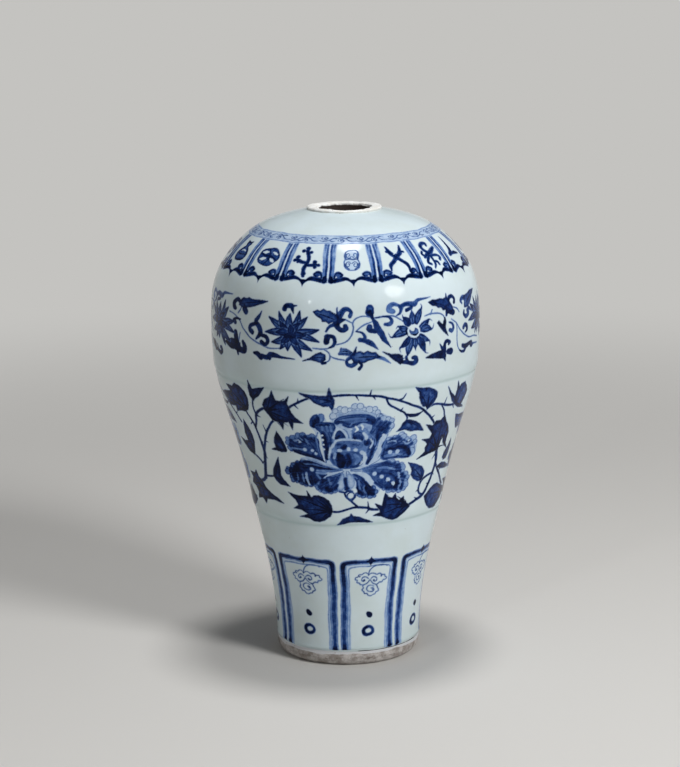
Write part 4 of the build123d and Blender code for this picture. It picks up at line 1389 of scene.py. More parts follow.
    # stems and leaves between a flower and the one on its right
    right_gap: tuple = (
        Stem((52, 40, 53.2, 33, 54.2, 26, 54, 18, 53, 10, 51, 3, 48.5, -2.8, 44, -6.4, 38, -9.4),
         (3.8, 3.6, 3.2, 3.2, 2.8), (52.8, 36, 50.4, 30, 52.4, 6, 50.2, 7, 44, -6.4, 41.6, -4, 53.6, 16,
         55.4, 13.4)),
        Stem((52.6, 15.4, 48.5, 14.2, 45.2, 11.6, 43.9, 7, 44.1, 1.6, 45.6, -1.4, 48, -3),
         (2.4, 2.6, 2.4, 2.2), (44, 3, 42, 1, 44.4, 10, 42.8, 12)),
        Stem((54.6, 24.6, 57, 20.6, 62, 19.2, 70, 16.6, 78, 15), (2.4, 2.4, 2.2)),
        Stem((55.6, 22.6, 58, 18, 62, 11.4, 66, 5, 70, -0.4), (2.4, 2.4, 2.2), (60, 15, 61.8, 18.4)),
        Stem((40, 82.6, 44, 84.4, 50, 81.6, 55, 79.6, 60, 79.4), (1.9, 2.1, 2.2, 2), (49.6, 82, 50.4, 88,
         57, 79.4, 58.6, 75.6)),
        Stem((47, 83, 50, 77.6, 52.4, 70), (1.2, 1.6, 2)),
        Leaf((52, 40), (53.6, 37, 50.4, 37.6, 47, 36.8, 44, 35.4, 38.4, 33.8, 41.4, 37, 43.2, 39.8,
         42.4, 43, 43.4, 47, 41.8, 49.8, 39.4, 51.8, 44.4, 52, 45.4, 56, 43, 60.6, 39.8, 65.8, 44.6, 63.4,
         46.4, 67.4, 50, 67.4, 52.4, 71.6, 55, 64.6, 58.6, 58, 60.6, 52, 60, 46, 60.4, 41, 62.8, 35.8,
         59, 39.4, 56.8, 43.4, 55.8, 48.6, 54.6, 49.2, 54.2, 43), (41, 35.4, 41.6, 51.4, 42, 64, 51, 66,
         59, 56, 61, 38.6)),
        Leaf((45, 13), (33.4, 32, 37, 30.2, 40, 28.2, 43.5, 25, 45.8, 20, 45.9, 15, 44.6, 11.4, 41.5, 11.8,
         38.4, 15.4, 36.4, 19.6, 36.7, 23.8), (35.4, 29.6, 43.6, 22, 38, 18), 0.74),
        Leaf((60, 79.5), (50, 98, 53.5, 91, 57, 86.6, 57.4, 93, 57.2, 100.5, 59.6, 94, 60.4, 96.5,
         64.5, 97.4, 67.4, 93, 70, 87, 68.6, 81, 66, 76.4, 70, 72, 62, 75.4, 58, 79.6, 55, 83.6, 52.4, 90),
         (52, 93.6, 57.4, 97, 64, 95, 67, 74), 0.84),
        Leaf((80, 59), (63, 67.6, 67, 66, 74, 64.2, 80, 62.4, 84, 59.6, 81, 56, 76, 53.6, 68.6, 52, 66, 58),
         (65, 66, 70, 54), 0.8),
        Leaf((63, 25), (66.4, 44, 68.4, 37, 68, 30, 66, 25.4, 63, 24.4, 60.6, 27.6, 61.6, 32.4, 64.4, 37),
         (66.4, 40), 0.84),
        Leaf((57, 20), (56.8, 20.6, 61, 22.4, 66, 21, 71, 18, 75, 15.4, 69, 15.2, 63, 16.6, 59, 18.6),
         (72, 16.6), 0.84),
        Leaf((75, -9), (50, -5, 54, -0.4, 58, 3, 62, 3.4, 66, 1.4, 70, -2, 75, -5, 76, -12, 70, -16,
         64, -20, 58, -18.6, 54, -14.4, 51.6, -10), (53, -4.6, 61, 2, 60, -18, 55, -12), 0.86),
        Leaf((39, 81.5), (31, 103.2, 35, 101.8, 38, 101.4, 41, 98.8, 43.4, 95, 43.6, 91, 42.2, 86,
         40.4, 82.4, 38.6, 80.2, 38, 83.6, 36, 84.2, 34.4, 87.6, 33.4, 93, 33.2, 97.4), (32.4, 100, 38, 100,
         42.6, 93, 35, 88), 0.8),
    )
    # stems that join the two ends of the scroll at the back
    back_join: tuple = (
        Stem((181, 15.4, 187, 13.6, 191, 9.6, 196, 7), (2, 2.2, 2.6), (186, 14, 187.6, 17.6)),
        Stem((204.4, 72.8, 198, 71.4, 193, 66, 188, 59.8), (2, 1.8, 1.6), (196, 70, 195.4, 73.6)),
    )

    def paint(self, painter: Painter) -> None:
        """Paint the stems and the leaves between the flowers, then the leaves round them and the flowers.

        Args:
            painter: Painter of the whole vase.
        """
        front, right, left = (painter.at(place, self.base) for place in self.places)
        rounds = (
            (self.arches, (front, right, left)),
            (self.left_gap, (front, left)),
            (self.right_gap, (front, right)),
            (self.back_join, (front,)),
            ((*self.leaves_round, Peony()), (front, right, left)),
        )
        for motifs, painters in rounds:
            for p in painters:
                for motif in motifs:
                    motif.paint(p)


IN_THE_HOLLOW = (0, 0, 250)  # point on the axis that the outer facets look away from
SAME_PLACE = 0.2  # distance within which two points of a section count as one


@dataclass
class TurnedOutline:
    """Outer face of the glaze in section: radius and height along its length, in millimetres."""

    lengths: Array
    radii: Array
    heights: Array

    @classmethod
    def of_coat(cls, coat: bpy.types.Object, thickness: float = 0.5, start: float = 8.0) -> TurnedOutline:
        """Read the outer face from the coat's solid: its facets that face outward and aren't mere edges.

        Args:
            coat: Object of the coat's node.
            thickness: Thickness of the coat.
            start: Height that lengths are counted from.

        Returns:
            The outline as a dense smooth curve.
        """
        mesh = coat.data
        mesh.calc_loop_triangles()
        places = np.empty(len(mesh.vertices) * 3)
        mesh.vertices.foreach_get("co", places)
        corners = np.empty(len(mesh.loop_triangles) * 3, np.int32)
        mesh.loop_triangles.foreach_get("vertices", corners)
        facets = (places.reshape(-1, 3) / MM)[corners].reshape(-1, 3, 3)
        normals = np.cross(facets[:, 1] - facets[:, 0], facets[:, 2] - facets[:, 0])
        outward = (normals * (facets.mean(1) - IN_THE_HOLLOW)).sum(1) > 0
        section = np.stack([np.hypot(facets[..., 0], facets[..., 1]), facets[..., 2]], 2)
        long_enough = np.hypot(*np.ptp(section, axis=1).T) > 2 * thickness
        points = section[outward & long_enough].reshape(-1, 2)
        points = points[np.argsort(points[:, 1])]
        steps = np.hypot(*np.diff(points, axis=0).T)
        curve = smoothed(points[np.r_[True, steps > SAME_PLACE]], shares=10)
        lengths = np.r_[0, np.cumsum(np.hypot(*np.diff(curve, axis=0).T))]
        return cls(lengths + curve[0, 1] - start, curve[:, 0], curve[:, 1])

    def radius(self, lengths: Array) -> Array:
        """Radius at each length."""
        return np.interp(lengths, self.lengths, self.radii)

    def height(self, lengths: Array) -> Array:
        """Height at each length."""
        return np.interp(lengths, self.lengths, self.heights)

    def normal(self, lengths: Array, reach: float = 1.5) -> tuple[Array, Array]:
        """Outward radius and height of the unit normal: the way across a place, turned a quarter turn.

        Args:
            lengths: Places on the outline.
            reach: How far the way across goes to either side.

        Returns:
            The normal's outward part and its upward part.
        """
        across = self.radius(lengths + reach) - self.radius(lengths - reach)
        up = self.height(lengths + reach) - self.height(lengths - reach)
        size = np.hypot(across, up)
        return up / size, -across / size

    def sunk(self, lengths: Array, depth: Amounts) -> tuple[Array, Array]:
        """Radii and heights at a depth under the face, measured along its normal."""
        out, up = self.normal(lengths)
        return self.radius(lengths) - depth * out, self.height(lengths) - depth * up


@dataclass
class TurnedGrid:
    """Closed ring of rows and columns: the rows go round a section, the columns round the axis."""

    radii: Array
    heights: Array
    normals: Optional[Array] = None
    strip_count: int = 4
    side_margin: float = 0.004
    strip_margin: float = 0.03

    def places(self) -> Array:
        """Points in metres: the front is at -Y and the columns turn towards +X."""
        angle = turns(self.radii.shape[1])
        return np.stack([self.radii * np.sin(angle), -self.radii * np.cos(angle), self.heights], 2) * MM

    def outward(self) -> Array:
        """Unit normals: the way round the axis crossed with the way along the section.

        Returns:
            The normal at each point.
        """
        places = self.places()
        beside = np.roll(places, -1, 1) - np.roll(places, 1, 1)
        normals = np.cross(beside, np.gradient(places, axis=0))
        return normals / np.linalg.norm(normals, axis=2, keepdims=True)

    def mesh(self, name: str, layout: Array, values: dict[str, Array]) -> bpy.types.Object:
        """Mesh of quads that closes on itself both ways.

        Args:
            name: Name of the piece.
            layout: Places of each row on the laid-out texture, from nought to one.
            values: Numbers for each point, by name.

        Returns:
            The new object.
        """
        rows, columns = self.radii.shape
        row, column = np.meshgrid(np.arange(rows), np.arange(columns), indexing="ij")
        here, after = row * columns, (row + 1) % rows * columns
        beside = (column + 1) % columns
        corners = np.stack([here + column, here + beside, after + beside, after + column], 2)
        mesh = bpy.data.meshes.new(name)
        mesh.vertices.add(rows * columns)
        mesh.vertices.foreach_set("co", self.places().astype(np.float32).ravel())
        mesh.loops.add(corners.size)
        mesh.loops.foreach_set("vertex_index", corners.astype(np.int32).ravel())
        mesh.polygons.add(rows * columns)
        mesh.polygons.foreach_set("loop_start", np.arange(0, corners.size, 4, dtype=np.int32))
        mesh.update(calc_edges=True)
        mesh.polygons.foreach_set("use_smooth", np.ones(rows * columns, bool))
        for label, numbers in values.items():
            store = mesh.attributes.new(label, "FLOAT", "POINT").data
            store.foreach_set("value", numbers.astype(np.float32).ravel())
        strips = mesh.uv_layers.new(name="OFBake")
        strips.uv.foreach_set("vector", self.strips(row, column, layout).astype(np.float32).ravel())
        if self.normals is not None:
            mesh.normals_split_custom_set_from_vertices(self.normals.reshape(-1, 3).tolist())
        piece = bpy.data.objects.new(name, mesh)
        bpy.context.scene.collection.objects.link(piece)
        return piece

    def strips(self, row: Array, column: Array, layout: Array) -> Array:
        """Texture places of each face's corners: equal turns of the ring, stacked as strips.

        Args:
            row: Row of each face.
            column: Column of each face.
            layout: Places of each row, from nought to one.

        Returns:
            The places, face by face.
        """
        share = self.radii.shape[1] // self.strip_count
        strip, place = column // share, column % share
        u = np.stack([place, place + 1, place + 1, place], 2) / share
        low, high = layout[row], layout[row + 1]
        v = np.stack([low, low, high, high], 2)
        u = self.side_margin + (1 - 2 * self.side_margin) * u
        v = (strip[..., None] + self.strip_margin + (1 - 2 * self.strip_margin) * v) / self.strip_count
        return np.stack([u, v], 3)


def linear(colour: Colour) -> tuple[float, float, float, float]:
    """Screen colour from 0 to 255 as linear light, by the usual curve of screens."""
    c = np.asarray(colour) / 255
    return (*np.where(c <= 0.04045, c / 12.92, ((c + 0.055) / 1.055) ** 2.4).tolist(), 1.0)


class Sketch:
    """Shader of one finish, built node by node."""

    # numbers of the colour sockets of a mix
    mix_result: int = 2
    mix_colours: tuple[int, int] = (6, 7)

    def __init__(self, name: str) -> None:
        """Start an empty material with one surface shader.

        Args:
            name: Name of the material.
        """
        self.material = bpy.data.materials.new(name)
        self.material.use_nodes = True
        self.tree = self.material.node_tree
        self.tree.nodes.clear()
        self.surface = self.tree.nodes.new("ShaderNodeBsdfPrincipled")
        self.output = self.tree.nodes.new("ShaderNodeOutputMaterial")
        self.fill(self.output, {"Surface": self.surface.outputs[0]})
        self.place = self.made("ShaderNodeTexCoord", "Object", {})

    def fill(self, node: bpy.types.Node, feeds: Feeds) -> None:
        """Link some inputs of a node to other sockets, or set their values.

        Args:
            node: The node.
            feeds: What each input gets, by its name or number.
        """
        for key, value in feeds.items():
            if isinstance(value, bpy.types.NodeSocket):
                self.tree.links.new(value, node.inputs[key])
            else:
                node.inputs[key].default_value = value

    def made(self, kind: str, output: Union[int, str], feeds: Feeds, **settings: Union[str, bool]) -> Socket:
        """New node.

        Args:
            kind: Type of the node.
            output: Name or number of the output that is wanted.
            feeds: What each input gets, by its name or number.
            settings: Settings of the node.

        Returns:
            The output.
        """
        node = self.tree.nodes.new(kind)
        for name, value in settings.items():
            setattr(node, name, value)
        self.fill(node, feeds)
        return node.outputs[output]

    def stretched(self, scale: tuple[float, float, float]) -> Socket:
        """Object coordinates stretched by a scale."""
        return self.made("ShaderNodeMapping", 0, {"Vector": self.place, "Scale": scale})

    def noise(
        self, grain: float, detail: float, rough: float = 0.5, place: Optional[Socket] = None
    ) -> Socket:
        """Noise from nought to one whose grains have a size in millimetres."""
        feeds = {"Scale": 1 / (grain * MM), "Detail": detail, "Roughness": rough}
        return self.made("ShaderNodeTexNoise", "Fac", {**feeds, "Vector": place or self.place})

    def spots(self, spacing: float) -> Socket:
        """Distance to the nearest of some scattered points, in spacings."""
        feeds = {"Scale": 1 / (spacing * MM), "Vector": self.place}
        return self.made("ShaderNodeTexVoronoi", "Distance", feeds)

    def value(self, name: str) -> Socket:
        """One of the mesh's own numbers."""
        return self.made("ShaderNodeAttribute", "Fac", {}, attribute_name=name)

    def math(self, operation: str, first: Feed, second: Feed, clamp: bool = False) -> Socket:
        """Sum on two values, kept between nought and one if clamped."""
        return self.made("ShaderNodeMath", 0, {0: first, 1: second}, operation=operation, use_clamp=clamp)

    def ranged(self, value: Feed, low: float, high: float, least: float = 0.0, most: float = 1.0) -> Socket:
        """Value between low and high, eased to run from the least to the most."""
        feeds = dict(enumerate((value, low, high, least, most)))
        return self.made("ShaderNodeMapRange", 0, feeds, interpolation_type="SMOOTHSTEP")

    def ramp(self, value: Feed, stops: Sequence[tuple[float, Colour]]) -> Socket:
        """Colour picked along a row of colours.

        Args:
            value: Place on the row, from nought to one.
            stops: Places and colours, from the first to the last.

        Returns:
            The colour.
        """
        picked = self.made("ShaderNodeValToRGB", 0, {0: value})
        row = picked.node.color_ramp.elements
        for _ in stops[2:]:
            row.new(0.5)
        for element, (place, colour) in zip(row, stops):
            element.position = place
            element.color = linear(colour)
        return picked

    def mix(self, share: Feed, *colours: Union[Colour, Socket]) -> Socket:
        """Mix of two colours.

        Args:
            share: Share of the second one.
            colours: The two colours.

        Returns:
            The mixed colour.
        """
        feeds = {0: share}
        for key, colour in zip(self.mix_colours, colours):
            feeds[key] = linear(colour) if isinstance(colour, tuple) else colour
        return self.made("ShaderNodeMix", self.mix_result, feeds, data_type="RGBA")

    def relief(self, height: Feed, depth: float) -> Socket:
        """Normals of a relief whose depth is in millimetres."""
        return self.made("ShaderNodeBump", 0, {"Strength": 1.0, "Distance": depth * MM, "Height": height})


@dataclass(frozen=True)
class PaintedGlaze:
    """Glossy bluish glaze over cobalt painting."""

    white: Colour = (205, 219, 224)
    warm: Colour = (199, 212, 213)
    pooled: Colour = (176, 196, 198)
    blues: tuple = (
        (0.0, (178, 197, 217)), (0.15, (136, 162, 200)), (0.3, (84, 117, 172)),
        (0.6, (24, 54, 114)), (0.8, (8, 26, 70)), (1.0, (2, 11, 38)),
    )
    bleed: Colour = (126, 156, 206)
    speck: Colour = (120, 104, 88)
    soft_edge: float = 0.34
    gloss: float = 0.08

    def material(self) -> bpy.types.Material:
        """Build the shader: the washes over the glaze, then the lines over the washes.

        Returns:
            The material.
        """
        s = Sketch("painted_glaze")
        cloudy = s.ranged(s.noise(45, 4.0, 0.6), 0.35, 0.68)
        ground = s.mix(cloudy, self.white, self.warm)
        ground = s.mix(s.value("pooling"), ground, self.pooled)
        tremble = s.math("MULTIPLY", s.math("SUBTRACT", s.noise(1.6, 2.0), 0.5), 0.7)
        uneven = s.math("MULTIPLY", s.math("SUBTRACT", s.noise(4.5, 3.0), 0.5), 0.8)
        heaped = s.ranged(s.noise(1.5, 2.0, 0.6), 0.56, 0.72, 0.0, 0.35)
        edges = {ink: s.math("ADD", s.value(ink.value), tremble) for ink in Ink}
        for edge in edges.values():
            ground = s.mix(s.ranged(edge, -1.1, 0.2, 0.0, 0.5), ground, self.bleed)
        for ink, edge in edges.items():
            cover = s.ranged(edge, -self.soft_edge, self.soft_edge)
            tone = s.value(ink.value + "_tone")
            strength = s.math("ADD", s.math("MULTIPLY", tone, 0.65), 0.35)
            heavier = s.math("ADD", s.math("MULTIPLY", uneven, strength), s.math("MULTIPLY", heaped, tone))
            ground = s.mix(cover, ground, s.ramp(s.math("ADD", tone, heavier, True), self.blues))
        specks = s.ranged(s.spots(16), 0.030, 0.016)
        ground = s.mix(s.math("MULTIPLY", specks, 0.7), ground, self.speck)
        rough = s.ranged(s.noise(20, 3.0), 0.3, 0.7, 0.08, 0.16)
        ripple = s.math("ADD", s.noise(14, 2.0), s.math("MULTIPLY", s.noise(2.4, 2.0), 0.12))
        feeds = {"Base Color": ground, "Roughness": rough, "Normal": s.relief(ripple, 0.18)}
        s.fill(s.surface, {**feeds, "Specular IOR Level": self.gloss})
        return s.material


@dataclass(frozen=True)
class BareClay:
    """Unglazed porcelain: buff, with turning lines and iron specks, and stains where the mesh has them; on
    the neck's bore these are partly painted shade.
    """

    name: str
    pale: Colour
    deep: Colour
    stain_and_shade: Optional[Colour] = None
    speck: Colour = (92, 66, 48)
    edge: Colour = (206, 208, 212)

    def material(self) -> bpy.types.Material:
        """Build the shader.

        Returns:
            The material.
        """
        s = Sketch(self.name)
        patches = s.ranged(s.noise(7, 6.0, 0.66), 0.38, 0.62)
        colour = s.mix(patches, self.pale, self.deep)
        grain = s.noise(0.9, 4.0, 0.65)
        colour = s.mix(s.ranged(grain, 0.52, 0.78, 0.0, 0.35), colour, self.deep)
        if self.stain_and_shade:
            # where the mesh asks for it: real stains, and on the neck's bore painted shade
            cloud = s.math("SUBTRACT", s.noise(5, 5.0, 0.65), 0.5)
            dirt_and_shade = s.math("ADD", s.value("stain_and_shade"), s.math("MULTIPLY", cloud, 1.3))
            colour = s.mix(s.ranged(dirt_and_shade, 0.25, 0.85), colour, self.stain_and_shade)
            colour = s.mix(s.ranged(dirt_and_shade, -0.2, -0.6, 0.0, 0.9), colour, self.edge)
        specks = s.ranged(s.spots(4.5), 0.13, 0.06, 0.0, 0.8)
        colour = s.mix(specks, colour, self.speck)
        rough = s.ranged(grain, 0.3, 0.7, 0.62, 0.85)
        rings = s.noise(1.4, 3.0, 0.6, s.stretched((0.05, 0.05, 1.0)))
        relief = s.relief(s.math("ADD", rings, s.math("MULTIPLY", grain, 0.6)), 0.3)
        s.fill(s.surface, {"Base Color": colour, "Roughness": rough, "Normal": relief})
        return s.material


@dataclass(frozen=True)
class PaleFloor:
    """Matt floor, lit near the object, which fades far from it to a plain tone as seen or mirrored, and up
    its curved edge to a darker tone of painted shade.
    """

    near: Colour = (210, 208, 204)
    far: Colour = (196, 195, 192)
    # darker tone up the curved edge: painted shade
    high: Colour = (96, 96, 96)

    def material(self) -> bpy.types.Material:
        """Build the shader.

        Returns:
            The material.
        """
        s = Sketch("pale_floor")
        s.fill(s.surface, {"Base Color": linear(self.near), "Roughness": 0.9})
        away = s.made("ShaderNodeVectorMath", "Value", {0: s.stretched((1.0, 1.0, 0.0))}, operation="LENGTH")
        ray = s.tree.nodes.new("ShaderNodeLightPath").outputs
        seen = s.math("ADD", ray["Is Camera Ray"], ray["Is Glossy Ray"])
        seen = s.math("ADD", seen, ray["Is Transmission Ray"], True)
        up = s.made("ShaderNodeSeparateXYZ", "Z", {0: s.place})
        # painted shade: the glow darkens up the curved edge
        tone = s.mix(s.ranged(up, 0.4, 1.3), self.far, self.high)
        glow = s.made("ShaderNodeEmission", 0, {"Color": tone})
        share = s.math("MULTIPLY", s.ranged(away, 0.5, 1.8), seen)
        blend = s.made("ShaderNodeMixShader", 0, {0: share, 1: s.surface.outputs[0], 2: glow})
        s.fill(s.output, {"Surface": blend})
        return s.material


FOOT_CLAY = BareClay("foot_clay", (192, 187, 184), (142, 134, 128), (94, 84, 75))
# neck: its dark brown stain colour is real iron staining round the rim and painted shade down the bore
NECK_CLAY = BareClay("neck_clay", (240, 242, 241), (228, 226, 220), (44, 31, 24))
# inside of the body, seen only through the mouth: brown-tinted clay darkened with painted shade of the hollow
INNER_CLAY_WITH_PAINTED_SHADE = BareClay("inner_clay_with_painted_shade", (84, 68, 57), (64, 50, 41))
SLIP = BareClay("slip", (222, 226, 224), (206, 209, 204))


def stand_in(piece: bpy.types.Object, finish: bpy.types.Material, slot: str, *nodes: str) -> None:
    """Give a piece its finish, and let it stand for its nodes.

    Args:
        piece: The new object.
        finish: Its material.
        slot: The record's material slot; not used.
        nodes: Nodes that it stands for.
    """
    piece.data.materials.append(finish)
    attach(piece, "root")
    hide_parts(*nodes)
    log.info("%s: %d faces, stands for %s", piece.name, len(piece.data.polygons), ", ".join(nodes))


@dataclass
class GlazeCoat:
    """The fired coat, as thin closed rings that meet edge to edge, with the painting under it."""

    outline: TurnedOutline
    columns: int = 1200
    rings: int = 8
    inner_rows: int = 6
    thickness: float = 0.5
    joints: Sequence[float] = (126.5, 254.0)
    # start, end and pitch of the rows, finer where a band is painted
    bands: tuple = (
        (5.6, 97.0, 0.65), (97.0, 124.0, 1.4), (124.0, 257.0, 0.62), (257.0, 270.0, 1.4),
        (270.0, 332.0, 0.65), (332.0, 340.0, 1.3), (340.0, 395.0, 0.65), (395.0, 437.0, 1.5),
    )
    edge_waves: tuple = ((0.34, 2, 0.4), (0.26, 5, 1.9), (0.16, 11, 0.7), (0.10, 23, 2.2))
    wobble_waves: tuple = ((0.06, 2, 0, 0.01), (0.05, 3, 0, -0.035))
    joint_waves: tuple = ((0.7, 3, 0), (0.4, 7, 1))

    def levels(self) -> Array:
        """Lengths of the rows, up to the top of the outline.

        Returns:
            The lengths.
        """
        rows = [np.linspace(a, b, round((b - a) / pitch), endpoint=False) for a, b, pitch in self.bands]
        top = self.outline.lengths[-1]
        levels = np.concatenate(rows)
        return np.r_[levels[levels < top - 0.5], top]

    def painted(self, levels: Array) -> Canvas:
        """Paint all the bands.

        Args:
            levels: Lengths of the rows.

        Returns:
            The painted canvas.
        """
        canvas = Canvas(levels, self.outline.radius(levels), self.columns)
        painter = Painter(canvas)
        for band in (LappetBand(), PeonyBand(), LotusBand(), CollarBand(), ScrollBand()):
            band.paint(painter)
            log.info("painted %s", type(band).__name__)
        return canvas

    def face(self, levels: Array) -> tuple[Array, Array, Array]:
        """Outer face: the turned outline, moved along its normal.

        It moves by a slow wobble, a swelling and a groove at each joint, and a roll above the lower edge,
        which rises and falls round the foot.

        Args:
            levels: Lengths of the rows.

        Returns:
            Radii, heights and how far the glaze has pooled.
        """
        angle = turns(self.columns)[None, :]
        s = levels[:, None]
        from_edge = s - levels[0]
        lengths = s + (0.9 + wave(angle, self.edge_waves)) * (1 - eased(from_edge / 14))
        shift = -0.12 + wave(angle, self.wobble_waves, s)
        pooling = 0.3 * bell(from_edge - 2.4, 2.0)
        for joint in self.joints:
            above = s - joint - wave(angle, self.joint_waves)
            shift = shift + 0.55 * bell(above - 4.0, 6.5) - 0.4 * bell(above + 1.0, 1.7)
            pooling = pooling + 0.3 * bell(above - 2.0, 5.0) + 0.6 * bell(above + 0.6, 1.5)
        shift = shift + 0.30 * bell(from_edge - 2.0, 1.5) - 0.45 * (1 - eased(from_edge / 1.4))
        return *self.outline.sunk(lengths, -shift), pooling

    def build(self) -> list[bpy.types.Object]:
        """Make the rings.

        Returns:
            The rings, lowest first.
        """
        levels = self.levels()
        canvas = self.painted(levels)
        radii, heights, pooling = self.face(levels)
        normals = TurnedGrid(radii, heights).outward()
        clay_radius, clay_height = self.outline.sunk(levels, self.thickness)
        clay_radii = clay_radius[:, None] + 0 * radii
        clay_heights = np.minimum(clay_height[:, None], heights)
        borders = np.linspace(0, len(levels) - 1, self.rings + 1).round().astype(int)
        rings = []
        for number, (first, last) in enumerate(zip(borders, borders[1:]), 1):
            outer = np.arange(first, last + 1)
            inner = np.linspace(last, first, self.inner_rows).round().astype(int)
            grid = TurnedGrid(
                np.vstack([radii[outer], clay_radii[inner]]),
                np.vstack([heights[outer], clay_heights[inner]]),
                np.concatenate([normals[outer], -normals[inner]]),
            )
            values = {"pooling": np.vstack([pooling[outer], 0 * pooling[inner]])}
            for ink in Ink:
                values[ink.value] = np.vstack([canvas.edges[ink][outer], 0 * radii[inner] + FAR_OUTSIDE])
                values[ink.value + "_tone"] = canvas.tones[ink][np.r_[outer, inner]]
            share = (levels[outer] - levels[first]) / (levels[last] - levels[first])
            layout = np.r_[0.92 * share, np.linspace(0.94, 0.99, self.inner_rows), 1.0]
            rings.append(grid.mesh(f"glaze_ring_{number}", layout, values))
        return rings

    def dress(self, rings: Sequence[bpy.types.Object]) -> None:
        """Glaze the rings, which together stand for the coat's solid.

        Args:
            rings: The rings.
        """
        finish = PaintedGlaze().material()
        for ring in rings:
            stand_in(ring, finish, "painted_glaze", "glaze_coat")


@dataclass
class BareFoot:
    """Lowest thrown section, with the rounded foot that the glaze leaves bare."""

    outline: TurnedOutline
    columns: int = 720
    foot_radius: float = 62.75
    edge_radius: float = 8.0
    ring_width: float = 10.0
    heel_wall: float = 11.0
    wall_taper: float = 1.4
    base_top: float = 14.5
    cove: float = 6.0
    bare_top: float = 12.0
    heel_top: float = 26.0
    top_length: float = 125.4
    scarf_drop: float = 4.0
    glaze_thickness: float = 0.5
    worn_waves: tuple = ((0.10, 3, 0.3), (0.08, 7, 1.1), (0.06, 13, 2.0))
    stain_waves: tuple = ((0.3, 3, 1.0), (0.3, 7, 0.2))
    fresh_waves: tuple = ((0.5, 3, 0.4), (0.4, 8, 1.6), (0.25, 19, 0.3))
    # angle, height, depth, width and length up the foot of each chip
    chips: tuple = (
        (-22, 2.2, 0.5, 2.4, 1.2), (9, 3.0, 0.4, 3.4, 1.0), (31, 1.8, 0.6, 2.0, 1.4),
        (-52, 2.6, 0.5, 3.0, 1.2), (74, 2.0, 0.5, 2.6, 1.3), (128, 2.4, 0.6, 3.0, 1.4),
        (-118, 2.0, 0.5, 2.6, 1.2), (176, 2.8, 0.5, 3.2, 1.1),
    )
    chip_radius: float = 62.0

    def section(self) -> tuple[Array, Array, Array]:
        """Section of the wall.

        It starts inside the standing ring, goes out along the ground, up a quarter circle and the outer
        face, back through the joint and down the inner face, the heel and the sloped seat of the base.

        Returns:
            Radii and heights round the wall, and whether each point is bare.
        """
        edge_start = self.foot_radius - self.edge_radius
        ring_edge = edge_start - self.ring_width
        flat = np.linspace(ring_edge, edge_start, 20, endpoint=False)
        turn = np.linspace(0, np.pi / 2, 34, endpoint=False)
        low = np.linspace(0, self.bare_top, 36, endpoint=False)
        side = np.r_[low, np.linspace(self.bare_top, self.top_length, 20)]
        reach = np.maximum(side, self.outline.lengths[0])
        side_radius, side_height = self.outline.sunk(reach, self.glaze_thickness)
        side_height = np.where(side < reach, self.edge_radius + side, side_height)
        inner = np.linspace(self.top_length - self.scarf_drop, self.heel_top, 16)
        wall = self.heel_wall - self.wall_taper * inner / self.top_length
        inner_radius, inner_height = self.outline.sunk(inner, wall + self.glaze_thickness)
        heel = self.foot_radius - self.heel_wall
        seat = np.linspace(0, 1, 8, endpoint=False)
        radii = np.r_[
            flat, self.foot_radius - self.edge_radius * (1 - np.sin(turn)), side_radius, inner_radius,
            heel, heel + (ring_edge - heel) * seat,
        ]
        heights = np.r_[
            np.zeros_like(flat), self.edge_radius * (1 - np.cos(turn)), side_height, inner_height,
            self.base_top + self.cove, self.base_top * (1 - seat),
        ]
        bare = np.arange(len(radii)) < len(flat) + len(turn) + len(low)
        return radii, heights, bare

    def build(self) -> bpy.types.Object:
        """Make the wall: turning grooves, wear on the standing edge and a few shallow chips.

        Returns:
            The wall.
        """
        radii, heights, bare = (part[:, None] for part in self.section())
        angle = turns(self.columns)[None, :]
        h = heights
        broad = np.sin(2 * np.pi * h / 1.9 + 0.5 * np.sin(angle))
        inward = 0.16 + 0.07 * broad + 0.05 * np.sin(2 * np.pi * h / 0.83)
        inward = inward - wave(angle, self.worn_waves) * bell(h - 5, 4)
        for place, level, depth, width, tall in self.chips:
            away = np.angle(np.exp(1j * (angle - np.radians(place))))
            inward = inward + depth * bell(away, width / self.chip_radius) * bell(h - level, tall)
        radius = radii - bare * inward * (h > 0.01)
        ground_in = 0.16 + 0.25 * bell(h - 1.0, 1.6)
        clouded = 0.35 * bell(h - 7.0, 2.4) * (0.6 + wave(angle, self.stain_waves))
        fresh = eased((h - 9.4 - wave(angle, self.fresh_waves)) / 2.6)
        stain_and_shade = bare * ((ground_in + clouded) * (1 - fresh) - 0.75 * fresh)
        layout = np.linspace(0, 1, len(radii) + 1)
        return TurnedGrid(radius, h + 0 * angle).mesh("bare_foot", layout, {"stain_and_shade": stain_and_shade})

    def dress(self, wall: bpy.types.Object) -> None:
        """Give the wall its bare clay."""
        stand_in(wall, FOOT_CLAY.material(), "bare_porcelain", "lower_wall")


